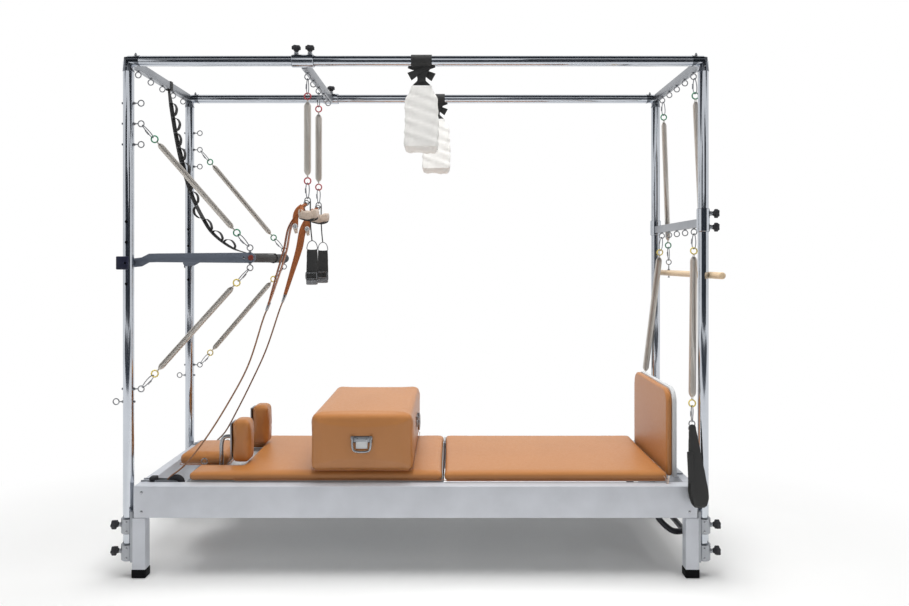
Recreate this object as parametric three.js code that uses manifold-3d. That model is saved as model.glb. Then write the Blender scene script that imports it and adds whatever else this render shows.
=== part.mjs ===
import * as THREE from "three";
import { mergeVertices } from "three/addons/utils/BufferGeometryUtils.js";
import Module from "manifold-3d";

const wasm = await Module();
wasm.setup();

// A pilates trapeze table: a tube canopy over a reformer bed.
// Millimetres, +Z up, the origin on the floor midway between the four posts.
// +X is the foot end, -Y is the side called front.

// Driving dimensions of the canopy
const tableHeight = 2200;
const postSpacing = 2436;
const postGauge = 680;
const tubeDiameter = 44;
const postFootHeight = 65;
const sleeveWall = 3;
const sleeveAlong = 48;
const sleeveDown = 67;
const sleeveSocketDepth = 45;
const boltHead = 9;
const boltHeight = 12;
const boltInset = 30;
const touch = 0.3;
const overrun = 2;
const weldTolerance = 0.0001;

// Bars that cross the table, and the eyes under them
const barThickness = 26;
const barHeight = 36;
const eyeDiameter = 30;
const eyeWire = 5;
const eyeStem = 5;
const eyeNut = 12;
const eyeNutHeight = 6;
const eyeCount = 5;
const headEyePitch = 125;
const footEyePitch = 112;
const midEyePitch = 115;
const eyeGap = 2;
const postEyeReach = 53;
const upperEyeDrops = [201, 288, 376];
const lowerEyeHeight = 788;
const outerEyeHeight = 734;

// Sliding bar on the top rails and height bar on the foot posts
const sliderPlace = -478;
const sliderDrop = 8;
const collarWall = 4.5;
const sliderFrontCollar = 92;
const sliderRearCollar = 74;
const sliderKnobPitch = 58;
const midBarHeight = 1493;
const midFrontCollar = 97;
const midRearCollar = 74;
const midKnobPitch = 58;
const midCollarLift = 10;

// Star knobs
const knobDiameter = 38;
const knobLobes = 5;
const knobPointsPerLobe = 2;
const knobLobeShare = 0.1;
const knobThickness = 14;
const knobStem = 10;
const knobStemLength = 22;
const knobBoss = 20;
const knobBossHeight = 9;

// Bed frame
const bedLength = 2380;
const bedWidth = 744;
const railWidth = 60;
const railBottom = 252;
const railTop = 385;
const railCorner = 6;
const trackDepth = 24;
const trackThickness = 8;
const trackRise = 48;
const endRailThickness = 40;
const legAlong = 56;
const legAcross = 46;
const footHeight = 36;
const footFlare = 2;
const clampPlateThickness = 8;
const clampPlateTop = 280;
const clampPlateAcross = 56;
const clampCollarDiameter = 58;
const clampHeights = [102.5, 213.5];
const clampCollarHeights = [69, 65];
const clampKnobReach = 77;

// Push-through bar
const pinHeights = [1496, 1409, 1322, 1234];
const pivotIndex = 2;
const pinDiameter = 12;
const pinClearance = 0.3;
const armThickness = 8;
const armPlace = 300;
const armReach = 528;
const armRise = 22;
const armBend = 70;
const armHalfAtPivot = 19;
const armHalfAtTip = 22.5;
const armEyeInset = 25;
const armEyeOffset = 43;
const handleTube = 28;
const gripDiameter = 38;
const leverReach = 40;
const leverHeight = 56;
const leverThickness = 9;
const washerDiameter = 26;

// Springs: from eye to coil there is a hook, a coloured ring and a cone
const springEnd = 125;
const ringCentre = 83;
const springRing = 34;
const springRingWire = 6;
const coneNeck = 9;
const hookBar = 4;
const hookThickness = 4;
const hookWindow = 10;
const springWire = 4;
const coilLap = 3;
const coilSteps = 8;
const coilSides = 5;
const pushSpringDiameter = 26;
const pushSpringCurls = 4;
const armSpringDiameter = 32;
const armSpringCurls = 3;
const armSpringDrop = 540;
const armSpringEyes = [-2, 0];
const legSpringDiameter = 32;
const legSpringCurls = 4;
const legSpringLength = 825;
const legSpringLeanAcrossShare = 0.171;
const legSpringLeanAlongShare = 0.071;
const rollSpringDiameter = 28;
const rollSpringCurls = 4;

// Roll-down bar
const rollBarLength = 914;
const rollBarDiameter = 29;
const rollBarBelow = 223;
const rollEyePlace = 237;
const rollEyeAbove = 55;
const rollEyeTail = 9;

// Carriage
const padTop = 426;
const padHeight = 37;
const padWidth = 646;
const padRounding = 16;
const padCrown = 6;
const padDrawIn = 3;
const carriageHead = -785;
const carriageFoot = 117;
const wingLength = 190;
const wingWidth = 131;
const wingLap = 40;
const carriagePlateThickness = 14;
const carriagePlateWidth = 600;
const carriageBeamHeight = 76;
const carriageBeamWidth = 30;
const carriageBeamPlace = 262;
const wheelDiameter = 44;
const wheelWidth = 18;
const wheelPlace = 299;
const wheelInset = 130;
const wheelAxle = 12;
const headPlateTop = 397;
const plateSlotLength = 70;
const plateSlotWidth = 14;
const plateSlotPlace = 172;
const headrestLength = 245;
const headrestWidth = 262;
const headrestHeight = 50;
const headrestFoot = -862;
const shoulderPlace = -886;
const shoulderAcross = 155;
const shoulderRod = 18;
const shoulderFlange = 36;
const shoulderFlangeHeight = 6;
const shoulderKnee = 540;
const shoulderPadFoot = -745;
const shoulderPadDepth = 85;
const shoulderPadWidth = 100;
const shoulderPadBottom = 430;
const shoulderPadTop = 622;
const shoulderBack = 6;
const plateEyePlace = -961;
const plateEyeAcross = 160;

// Pulleys at the head end
const pulleyDiameter = 70;
const pulleyWidth = 22;
const pulleyPlace = -1036;
const pulleyAcross = 292;
const pulleyRise = 73;
const pulleyGroove = 9;
const pulleyAxle = 10;
const pulleyGap = 1.5;
const cheekThickness = 4;
const cheekHeight = 36;
const cleatLength = 26;
const cleatHeight = 18;
const cleatInset = 6;

// Sitting box, mat and jumpboard
const boxLength = 432;
const boxAcross = 670;
const boxHeight = 246;
const boxFoot = -14;
const boxRounding = 20;
const handleWidth = 86;
const handlePlateHeight = 24;
const handlePlateThickness = 6;
const handleDrop = 56;
const handleWire = 9;
const handleTopHeight = 628;
const sideHandleTopHeight = 640;
const handleStand = 14;
const matGap = 1;
const matFoot = 1085;
const matBoard = 16;
const matRounding = 12;
const boardFace = 1092;
const boardPad = 25;
const boardWidth = 564;
const boardBottom = 392;
const boardTop = 777;
const boardThickness = 18;
const boardCorner = 60;
const boardPadInset = 10;
const bracketWidth = 40;
const bracketThickness = 6;
const bracketPlace = 190;
const bracketRise = 90;

// Footbar, folded down at the foot end
const footbarTube = 25;
const footbarPivotPlace = 1020;
const footbarPivotHeight = 272;
const footbarHalf = 292;
const footbarReach = 140;
const footbarDrop = 112;
const footbarCorner = 40;
const footbarBoss = 34;

// Straps, slings and ropes
const strapWidth = 25;
const strapThickness = 3;
const safetyAcross = 75;
const safetyLoopLength = 120;
const slingPlaces = [24, 72];
const slingWrapWidth = 88;
const slingWebThickness = 3.5;
const slingNeckWidth = 34;
const slingNeckThickness = 9;
const slingNeckLength = 78;
const slingPadWidth = 142;
const slingPadHeight = 292;
const slingPadDepth = 74;
const slingBand = 17;
const slingTopShare = 0.55;
const footStrapDepth = 56;
const footStrapHeight = 340;
const footStrapBand = 12;
const footStrapBreadth = 88;
const footStrapTopShare = 0.3;
const footStrapLeanDegrees = 8;
const cuffDepth = 40;
const cuffHeight = 181;
const cuffBand = 8;
const cuffBreadth = 46;
const cuffTopShare = 0.5;
const cuffRingHeight = 30;
const cuffStemLength = 186;
const cuffStemWidth = 14;
const cuffAside = 20;
const handLoopLength = 92;
const handLoopWidth = 70;
const handLoopBand = 11;
const handLoopHeight = 40;
const handLoopAside = 4;
const handLoopDrop = 61;
const pullStrapWidth = 30;
const pullStrapThickness = 4;
const knotDiameter = 16;
const knotLength = 26;
const ropeDiameter = 7;
const ropeSides = 8;
const ropeSteps = 26;

// Routes and directions chosen by hand, along the table and up
const safetyRoute = [[-1179, 1917], [-1116, 1675], [-1043, 1520], [-990, 1450], [-908, 1392]];
const pullKnotPoints = [[-650, -245, 1138], [-638, -10, 1160]];
const pullStrapShares = [[0.45, 0.2, 0.24], [0.62, 0.5, 0.48], [0.82, 0.8, 0.76]];
const pullTabFallShares = [-1, 0, -2];
const ropeRoutePoints = [
  [[-736, -255, 876], [-820, -265, 713], [-914, -276, 561], [-1000, -286, 450]],
  [[-745, 60, 900], [-838, 130, 727], [-930, 205, 577], [-1005, 265, 460]],
];
const pulleyWrapDegrees = [140, 180, 225, 270];

// Facets
const tubeSides = 10;
const rodSides = 8;
const wireSides = 4;
const ringSteps = 8;
const springRingSteps = 6;
const nutSides = 6;
const arcSteps = 3;
const stripSteps = 9;
const bendSteps = 6;
const footbarSteps = 10;
const coneSides = 5;
const cushionCells = 4;
const smallCushionCells = 3;
const cushionLayers = 3;

// Sizes that follow
const headX = -postSpacing / 2;
const footX = postSpacing / 2;
const postY = postGauge / 2;
const railZ = tableHeight - tubeDiameter / 2;
const upperEyeHeights = upperEyeDrops.map((drop) => tableHeight - drop);
const rollBarHeight = midBarHeight - rollBarBelow;
const trackTop = railBottom + trackRise;
const pulleyHeight = trackTop + pulleyRise;
const bedEnd = bedLength / 2;
const bedSide = bedWidth / 2;
const railInside = bedSide - railWidth;
const railEnd = bedEnd - clampPlateThickness + overrun - touch;
const sleeveDiameter = tubeDiameter + sleeveWall * 2;
const eyeMajor = (eyeDiameter - eyeWire) / 2;
const eyeInside = eyeMajor * Math.cos(Math.PI / ringSteps) - eyeWire / 2;
const eyeDrop = eyeDiameter / 2 + eyeGap;
const collarDiameter = tubeDiameter + (collarWall + touch) * 2;
const boreDiameter = tubeDiameter + touch * 2;
const turningBore = boreDiameter / Math.cos(Math.PI / tubeSides);
const pinBore = (pinDiameter + pinClearance * 2) / Math.cos(Math.PI / nutSides);
const arcGrowth = 1 / Math.cos(Math.PI / (arcSteps * 4));

const along = new THREE.Vector3(1, 0, 0);
const across = new THREE.Vector3(0, 1, 0);
const up = new THREE.Vector3(0, 0, 1);
const at = (x, y, z) => new THREE.Vector3(x, y, z);
const ends = [["head", -1], ["foot", 1]];
const sides = [["front", -1], ["rear", 1]];

// Materials, with colours from the real object
function finish(color, roughness, metalness) {
  return new THREE.MeshStandardMaterial({ color, roughness, metalness });
}
const chrome = finish(0xc9cdd2, 0.15, 1);
const steel = finish(0xa9abad, 0.35, 1);
const aluminium = finish(0xb0b4bc, 0.45, 0.9);
const black = finish(0x1c1c1e, 0.6, 0);
const tan = finish(0xc48456, 0.55, 0);
const fleece = finish(0xe8e6e0, 0.95, 0);
const webbing = finish(0x202022, 0.85, 0);
const beech = finish(0xd8b98c, 0.5, 0);
const board = finish(0xb9bbbe, 0.6, 0);
const leather = finish(0xa8683a, 0.6, 0);
const ropeCloth = finish(0xd9d4c8, 0.9, 0);

// Closed solids: joining and cutting
function solidOf(geometry) {
  const bare = new THREE.BufferGeometry();
  bare.setAttribute("position", geometry.getAttribute("position"));
  bare.setIndex(geometry.index);
  const merged = mergeVertices(bare, weldTolerance);
  const corners = merged.index.array;
  const faces = [];
  for (let i = 0; i < corners.length; i += 3) {
    const [a, b, c] = corners.slice(i, i + 3);
    if (a !== b && b !== c && c !== a) faces.push(a, b, c);
  }
  return new wasm.Manifold(new wasm.Mesh({
    numProp: 3,
    vertProperties: new Float32Array(merged.getAttribute("position").array),
    triVerts: new Uint32Array(faces),
  }));
}

function geometryOf(solid) {
  const mesh = solid.getMesh();
  const geometry = new THREE.BufferGeometry();
  geometry.setAttribute("position", new THREE.BufferAttribute(mesh.vertProperties, 3));
  geometry.setIndex(new THREE.BufferAttribute(mesh.triVerts, 1));
  return geometry;
}

function fused(geometries, cutters = []) {
  let whole = solidOf(geometries[0]);
  for (const piece of geometries.slice(1)) whole = whole.add(solidOf(piece));
  for (const cutter of cutters) whole = whole.subtract(solidOf(cutter));
  return geometryOf(whole);
}

// A block between two opposite corners
function block(low, high) {
  const size = high.clone().sub(low);
  const geometry = new THREE.BoxGeometry(Math.abs(size.x), Math.abs(size.y), Math.abs(size.z));
  return geometry.translate(...low.clone().add(high).divideScalar(2));
}

// A round rod or cone between two points
function rod(from, to, diameter, count = rodSides, endDiameter = diameter) {
  const reach = to.clone().sub(from);
  const geometry = new THREE.CylinderGeometry(endDiameter / 2, diameter / 2, reach.length(), count);
  geometry.applyQuaternion(new THREE.Quaternion().setFromUnitVectors(across, reach.normalize()));
  return geometry.translate(...from.clone().add(to).divideScalar(2));
}

// A round ring whose hole looks along the table's width
function ring(centre, diameter, wire, steps = ringSteps) {
  const geometry = new THREE.TorusGeometry((diameter - wire) / 2, wire / 2, wireSides, steps);
  return geometry.rotateX(Math.PI / 2).translate(...centre);
}

// An outline drawn in a plane and given a depth, centred on that plane
const planes = {
  side: new THREE.Matrix4().makeBasis(along, up, across.clone().negate()),
  end: new THREE.Matrix4().makeBasis(across, up, along),
  top: new THREE.Matrix4(),
};

function extruded(drawn, depth, plane) {
  const { shape: outline, holes } = drawn.extractPoints(arcSteps);
  if (THREE.ShapeUtils.isClockWise(outline)) outline.reverse();
  const shape = new THREE.Shape(outline);
  shape.holes = holes.map((points) => new THREE.Path(points));
  const geometry = new THREE.ExtrudeGeometry(shape, { depth, bevelEnabled: false });
  return geometry.translate(0, 0, -depth / 2).applyMatrix4(planes[plane]);
}

function polygon(points) {
  return new THREE.Shape(points.map(([x, y]) => new THREE.Vector2(x, y)));
}

// A flat strip or a round tube along a curve
function swept(points, section, steps) {
  const path = new THREE.CatmullRomCurve3(points);
  return new THREE.ExtrudeGeometry(section, { steps, bevelEnabled: false, extrudePath: path });
}

function circleSection(diameter, count) {
  const turn = (i) => (i / count) * Math.PI * 2;
  return polygon(Array.from({ length: count }, (_, i) => [
    (Math.cos(turn(i)) * diameter) / 2,
    (Math.sin(turn(i)) * diameter) / 2,
  ]));
}

function ovalOutline(length, width) {
  const turn = (i) => (i / rodSides) * Math.PI * 2;
  return polygon(Array.from({ length: rodSides }, (_, i) => [
    (Math.cos(turn(i)) * length) / 2,
    (Math.sin(turn(i)) * width) / 2,
  ]));
}

function stripSection(width, thickness) {
  const [w, t] = [width / 2, thickness / 2];
  return polygon([[-w, -t], [w, -t], [w, t], [-w, t]]);
}

// A loop of padded strap, hung from its top corner at the origin, drawn as an outline
function hangingOutline(height, width, band) {
  const radius = width / 2;
  const centre = -(height - radius);
  const outline = new THREE.Shape();
  outline.moveTo(band, 0);
  outline.lineTo(radius, centre);
  outline.absarc(0, centre, radius, 0, -Math.PI, true);
  outline.lineTo(-band, 0);
  const hole = new THREE.Path();
  const inner = radius - band;
  hole.moveTo(0, -band * 2);
  hole.lineTo(inner, centre);
  hole.absarc(0, centre, inner, 0, -Math.PI, true);
  outline.holes.push(hole);
  return outline;
}

// Narrows a hung loop towards its top, over a given fall from the origin
function tapered(geometry, topShare, fall) {
  const position = geometry.getAttribute("position");
  for (let i = 0; i < position.count; i += 1) {
    const share = Math.min(Math.max(-position.getZ(i) / fall, 0), 1);
    position.setX(i, position.getX(i) * (topShare + (1 - topShare) * share));
  }
  return geometry;
}

// An upholstered block: rounded edges, a crown on top and sides drawn in between the corners
function cushion({ size, rounding, crown, drawIn = 0, cells = cushionCells }) {
  const half = size.clone().divideScalar(2);
  const geometry = new THREE.BoxGeometry(2, 2, 2, cells, cells, cushionLayers);
  const place = (share, reach, count) => {
    const step = Math.round(((share + 1) / 2) * count);
    if (step === 0) return -reach;
    if (step === count) return reach;
    return (reach - rounding) * THREE.MathUtils.mapLinear(step, 1, count - 1, -1, 1);
  };
  const position = geometry.getAttribute("position");
  for (let i = 0; i < position.count; i += 1) {
    const p = at(
      place(position.getX(i), half.x, cells),
      place(position.getY(i), half.y, cells),
      place(position.getZ(i), half.z, cushionLayers),
    );
    const core = p.clone().clamp(half.clone().subScalar(rounding).negate(), half.clone().subScalar(rounding));
    const outward = p.clone().sub(core);
    if (outward.length() > 0) p.copy(core).addScaledVector(outward.normalize(), rounding);
    const inX = 1 - (p.x / half.x) ** 2;
    const inY = 1 - (p.y / half.y) ** 2;
    if (p.z > 0) p.z += crown * inX * inY;
    p.y *= 1 - (drawIn / half.y) * inX;
    p.x *= 1 - (drawIn / half.x) * inY;
    position.setXYZ(i, p.x, p.y, p.z);
  }
  return geometry.translate(0, 0, half.z);
}

// A ring on a stem that ends in its seat, or goes on to a nut at its tail
function eyeBolt(centre, seat, tail) {
  const inward = seat.clone().sub(centre).normalize();
  const stemStart = centre.clone().addScaledVector(inward, eyeMajor);
  const pieces = [ring(centre, eyeDiameter, eyeWire), rod(stemStart, tail ?? seat, eyeStem, wireSides)];
  if (tail) pieces.push(rod(tail.clone().addScaledVector(inward, -eyeNutHeight), tail, eyeNut, nutSides));
  return pieces;
}

// Star knob: the origin is the tip of its stem, the head points along +Z
function starKnob(stemLength) {
  const count = knobLobes * knobPointsPerLobe;
  const outline = polygon(Array.from({ length: count }, (_, i) => {
    const turn = (i / count) * Math.PI * 2;
    const reach = (knobDiameter / 2) * (1 - knobLobeShare + knobLobeShare * Math.cos(turn * knobLobes));
    return [reach * Math.cos(turn), reach * Math.sin(turn)];
  }));
  const head = extruded(outline, knobThickness, "top").translate(0, 0, stemLength + knobThickness / 2);
  const stem = rod(at(0, 0, 0), at(0, 0, stemLength + overrun), knobStem, wireSides);
  return fused([head, stem]);
}

const table = new THREE.Group();

function add(name, geometry, material, position = at(0, 0, 0)) {
  const mesh = new THREE.Mesh(geometry, material);
  mesh.name = name;
  mesh.position.copy(position);
  table.add(mesh);
  return mesh;
}

// Turns a piece built along +Z to a direction and keeps its own Y near the table's Y
function pointed(mesh, direction) {
  const z = direction.clone().normalize();
  const x = across.clone().cross(z).normalize();
  const y = z.clone().cross(x);
  mesh.quaternion.setFromRotationMatrix(new THREE.Matrix4().makeBasis(x, y, z));
}

// Posts, each with its eyes; the head posts also have the holes for the push-through bar
const postTop = railZ + tubeDiameter / 2 - sleeveDown + sleeveSocketDepth - touch;
function postEye(height, direction) {
  return eyeBolt(
    at(direction * postEyeReach, 0, height),
    at(0, 0, height),
    at(-direction * (tubeDiameter / 2 + eyeNutHeight), 0, height),
  );
}

for (const [end, endSign] of ends) {
  for (const [side, sideSign] of sides) {
    const tube = rod(at(0, 0, postFootHeight), at(0, 0, postTop), tubeDiameter, tubeSides);
    const isHead = endSign < 0;
    const eyes = isHead
      ? [...upperEyeHeights.flatMap((z) => postEye(z, 1)), ...postEye(lowerEyeHeight, 1),
        ...postEye(outerEyeHeight, -1)]
      : [];
    const holes = isHead
      ? pinHeights.map((z) => rod(
        at(0, -tubeDiameter, z), at(0, tubeDiameter, z), pinBore, nutSides))
      : [];
    const place = at(endSign * postSpacing / 2, sideSign * postY, 0);
    add(`post_${end}_${side}`, fused([tube, ...eyes], holes), chrome, place);
  }
}

// Top rails with a sleeve at each end, bored for the post
for (const [side, sideSign] of sides) {
  const pieces = [rod(at(headX, 0, 0), at(footX, 0, 0), tubeDiameter, tubeSides)];
  const bores = [];
  for (const [, endSign] of ends) {
    const corner = endSign * postSpacing / 2;
    const inner = corner - endSign * sleeveAlong;
    const capEnd = corner + endSign * sleeveDiameter / 2;
    pieces.push(rod(at(inner, 0, 0), at(capEnd, 0, 0), sleeveDiameter, tubeSides));
    pieces.push(rod(
      at(corner, 0, 0), at(corner, 0, tubeDiameter / 2 - sleeveDown), sleeveDiameter, tubeSides));
    const boltX = corner - endSign * boltInset;
    pieces.push(rod(at(boltX, 0, 0), at(boltX, 0, tubeDiameter / 2 + boltHeight), boltHead, nutSides));
    const boreTop = tubeDiameter / 2 - sleeveDown + sleeveSocketDepth;
    const boreBottom = tubeDiameter / 2 - sleeveDown - overrun;
    bores.push(rod(at(corner, 0, boreBottom), at(corner, 0, boreTop), boreDiameter, tubeSides));
  }
  add(`top_rail_${side}`, fused(pieces, bores), chrome, at(0, sideSign * postY, railZ));
}

// A square bar across the table with five eyes under it, built about its own centre
function eyeBar(length, pitch) {
  const bar = block(
    at(-barThickness / 2, -length / 2, -barHeight / 2),
    at(barThickness / 2, length / 2, barHeight / 2),
  );
  const eyes = Array.from({ length: eyeCount }, (_, i) => {
    const y = (i - (eyeCount - 1) / 2) * pitch;
    return eyeBolt(at(0, y, -barHeight / 2 - eyeDrop), at(0, y, 0));
  });
  return [bar, ...eyes.flat()];
}

const endBarLength = postGauge - sleeveDiameter - touch * 2;
add("head_crossbar", fused(eyeBar(endBarLength, headEyePitch)), steel, at(headX, 0, railZ));
add("foot_crossbar", fused(eyeBar(endBarLength, footEyePitch)), steel, at(footX, 0, railZ));

// Bed frame: side rails with a track for the wheels
function sideRailOutline(sideSign) {
  const [inside, outside] = [railInside, bedSide];
  const points = [
    [inside, railBottom], [outside - railCorner, railBottom], [outside, railBottom + railCorner],
    [outside, railTop - railCorner], [outside - railCorner, railTop], [inside, railTop],
    [inside, trackTop], [inside - trackDepth, trackTop],
    [inside - trackDepth, trackTop - trackThickness], [inside, trackTop - trackThickness],
  ].map(([y, z]) => [y * sideSign, z]);
  return polygon(sideSign > 0 ? points : points.reverse());
}
for (const [side, sideSign] of sides) {
  add(`side_rail_${side}`, extruded(sideRailOutline(sideSign), railEnd * 2, "end"), aluminium);
}

function cheek(y) {
  const reach = pulleyPlace + cheekHeight / 2;
  return block(
    at(-railEnd + overrun, y - cheekThickness / 2, pulleyHeight - cheekHeight / 2),
    at(reach, y + cheekThickness / 2, pulleyHeight + cheekHeight / 2),
  );
}
const endRailHalf = railInside - touch;
const cheekOffset = pulleyWidth / 2 + pulleyGap + cheekThickness / 2;
const trackNotch = trackDepth + touch;
for (const [end, endSign] of ends) {
  const outer = endSign * railEnd;
  const inner = endSign * (railEnd - endRailThickness);
  const pieces = [block(at(outer, -endRailHalf, railBottom), at(inner, endRailHalf, railTop))];
  if (endSign < 0) {
    for (const [, sideSign] of sides) {
      const y = sideSign * pulleyAcross;
      const axleHalf = cheekOffset + cheekThickness / 2;
      pieces.push(cheek(y - cheekOffset), cheek(y + cheekOffset));
      pieces.push(rod(
        at(pulleyPlace, y - axleHalf, pulleyHeight), at(pulleyPlace, y + axleHalf, pulleyHeight),
        pulleyAxle));
      pieces.push(block(
        at(inner - overrun, y - cheekOffset, railTop - cleatInset),
        at(inner + cleatLength, y + cheekOffset, railTop + cleatHeight)));
    }
  }
  const notches = sides.map(([, sideSign]) => block(
    at(outer + endSign * overrun, sideSign * (railInside - trackNotch), trackTop - trackThickness - touch),
    at(inner - endSign * overrun, sideSign * (railInside + overrun), trackTop + touch),
  ));
  add(`${end}_end_rail`, fused(pieces, notches), aluminium);
}

// Legs, each with its black foot, the clamp plate, two collars round the post and their knobs
for (const [end, endSign] of ends) {
  for (const [side, sideSign] of sides) {
    const postPlace = postSpacing / 2 - bedEnd;
    const yIn = -sideSign * (legAcross - bedSide + postY);
    const yOut = sideSign * (bedSide - postY);
    const faceX = -endSign * (postPlace - clampPlateThickness);
    const outsideX = -endSign * postPlace;
    const plateMid = sideSign * (bedSide - postY - clampPlateAcross / 2);
    const plateHalf = clampPlateAcross / 2;
    const legBack = outsideX - endSign * legAlong;
    const pieces = [
      block(at(outsideX, yIn, overrun), at(legBack, yOut, railBottom - touch)),
      block(at(outsideX + endSign * footFlare, yIn - sideSign * footFlare, 0),
        at(legBack - endSign * footFlare, yOut + sideSign * footFlare, footHeight)),
      block(at(outsideX - endSign * (clampPlateThickness - overrun), plateMid - plateHalf, postFootHeight),
        at(faceX, plateMid + plateHalf, clampPlateTop)),
    ];
    const bores = [rod(at(0, 0, 0), at(0, 0, clampPlateTop + overrun), boreDiameter, tubeSides)];
    clampHeights.forEach((height, i) => {
      const halfCollar = clampCollarHeights[i] / 2;
      pieces.push(rod(at(0, 0, height - halfCollar), at(0, 0, height + halfCollar),
        clampCollarDiameter, tubeSides));
      const knob = starKnob(clampKnobReach - knobThickness - tubeDiameter / 2 - collarWall / 2);
      knob.rotateY(endSign * Math.PI / 2);
      pieces.push(knob.translate(endSign * (tubeDiameter / 2 + collarWall / 2), 0, height));
    });
    const place = at(endSign * postSpacing / 2, sideSign * postY, 0);
    add(`leg_${end}_${side}`, fused(pieces, bores), aluminium, place);
  }
}

// Sliding bar on the top rails and height bar on the foot posts, each locked by three knobs
function collaredBar({ frontCollar, rearCollar, axis, pitch, lift, knobPitch, knobAxis }) {
  const pieces = eyeBar(postGauge, pitch);
  const bores = [];
  const knobs = [];
  for (const [side, sideSign] of sides) {
    const halfLength = (sideSign < 0 ? frontCollar : rearCollar) / 2;
    const middle = at(0, sideSign * postY, 0).addScaledVector(knobAxis, lift.x).addScaledVector(axis, lift.y);
    const point = (reach) => middle.clone().addScaledVector(axis, reach);
    pieces.push(rod(point(-halfLength), point(halfLength), collarDiameter, tubeSides));
    bores.push(rod(point(-halfLength - overrun), point(halfLength + overrun), boreDiameter, tubeSides));
    const places = sideSign < 0 ? [-knobPitch / 2, knobPitch / 2] : [0];
    for (const reach of places) {
      const seat = point(reach).addScaledVector(knobAxis, collarDiameter / 2 + knobBossHeight);
      const bossFoot = point(reach).addScaledVector(knobAxis, tubeDiameter / 2 + collarWall / 2);
      pieces.push(rod(bossFoot, seat, knobBoss, nutSides));
      knobs.push([side, seat.addScaledVector(knobAxis, touch)]);
    }
  }
  return { geometry: fused(pieces, bores), knobs };
}

function addCollaredBar(name, knobName, spec, place) {
  const { geometry, knobs } = collaredBar(spec);
  add(name, geometry, steel, place);
  const knobGeometry = starKnob(knobStemLength - knobBossHeight);
  knobs.forEach(([side, seat], i) => {
    const knob = add(`${knobName}_${i + 1}_${side}`, knobGeometry, black, place.clone().add(seat));
    knob.quaternion.setFromUnitVectors(up, spec.knobAxis);
  });
}

const sliderCentre = at(sliderPlace, 0, railZ - sliderDrop);
addCollaredBar("sliding_crossbar", "slider_knob", {
  frontCollar: sliderFrontCollar, rearCollar: sliderRearCollar, axis: along, pitch: headEyePitch,
  lift: new THREE.Vector2(sliderDrop, 0), knobPitch: sliderKnobPitch, knobAxis: up,
}, sliderCentre);
const midCentre = at(footX, 0, midBarHeight);
addCollaredBar("height_crossbar", "height_knob", {
  frontCollar: midFrontCollar, rearCollar: midRearCollar, axis: up, pitch: midEyePitch,
  lift: new THREE.Vector2(0, midCollarLift), knobPitch: midKnobPitch, knobAxis: along,
}, midCentre);

// Push-through bar: two bent arms, a handle tube between them and a pivot pin through each post
const pivotHeight = pinHeights[pivotIndex];
const pivot = at(headX, 0, pivotHeight);
function armOutline() {
  const outline = new THREE.Shape();
  outline.absarc(0, 0, armHalfAtPivot, Math.PI / 2, -Math.PI / 2, false);
  outline.lineTo(armBend, armRise - armHalfAtPivot);
  outline.lineTo(armReach - armHalfAtTip, armRise - armHalfAtTip);
  outline.absarc(armReach - armHalfAtTip, armRise, armHalfAtTip, -Math.PI / 2, Math.PI / 2, false);
  outline.lineTo(armBend, armRise + armHalfAtPivot);
  return outline;
}
const armEyeX = armReach - armEyeInset;
const handleX = armReach - armHalfAtTip + overrun;
const pushPieces = [rod(
  at(handleX, -armPlace, armRise), at(handleX, armPlace, armRise), handleTube, tubeSides)];
for (const [, sideSign] of sides) {
  const y = sideSign * armPlace;
  const outside = sideSign * (postY + tubeDiameter / 2 + touch);
  pushPieces.push(extruded(armOutline(), armThickness, "side").translate(0, y, 0));
  pushPieces.push(rod(at(0, y, 0), at(0, outside + sideSign * leverThickness, 0), pinDiameter, nutSides));
  pushPieces.push(rod(at(0, y, 0), at(0, sideSign * (postY - tubeDiameter / 2 - touch), 0), washerDiameter));
  pushPieces.push(block(
    at(pinDiameter, outside, leverHeight / 2),
    at(-leverReach, outside + sideSign * leverThickness, -leverHeight / 2)));
  for (const lift of [-armEyeOffset, armEyeOffset]) {
    const edge = Math.sign(lift) * (armHalfAtTip - overrun);
    pushPieces.push(ring(at(armEyeX, y, armRise + lift), eyeDiameter, eyeWire));
    pushPieces.push(rod(at(armEyeX, y, armRise + edge),
      at(armEyeX, y, armRise + lift - Math.sign(lift) * eyeMajor), eyeStem, wireSides));
  }
}
add("push_through_bar", fused(pushPieces), steel, pivot);
const gripHalf = armPlace - armThickness / 2 - touch;
add("push_bar_grip", fused(
  [rod(at(0, -gripHalf, 0), at(0, gripHalf, 0), gripDiameter, tubeSides)],
  [rod(at(0, -gripHalf - overrun, 0), at(0, gripHalf + overrun, 0), handleTube + touch * 2, tubeSides)],
), black, pivot.clone().add(at(handleX, 0, armRise)));

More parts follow.
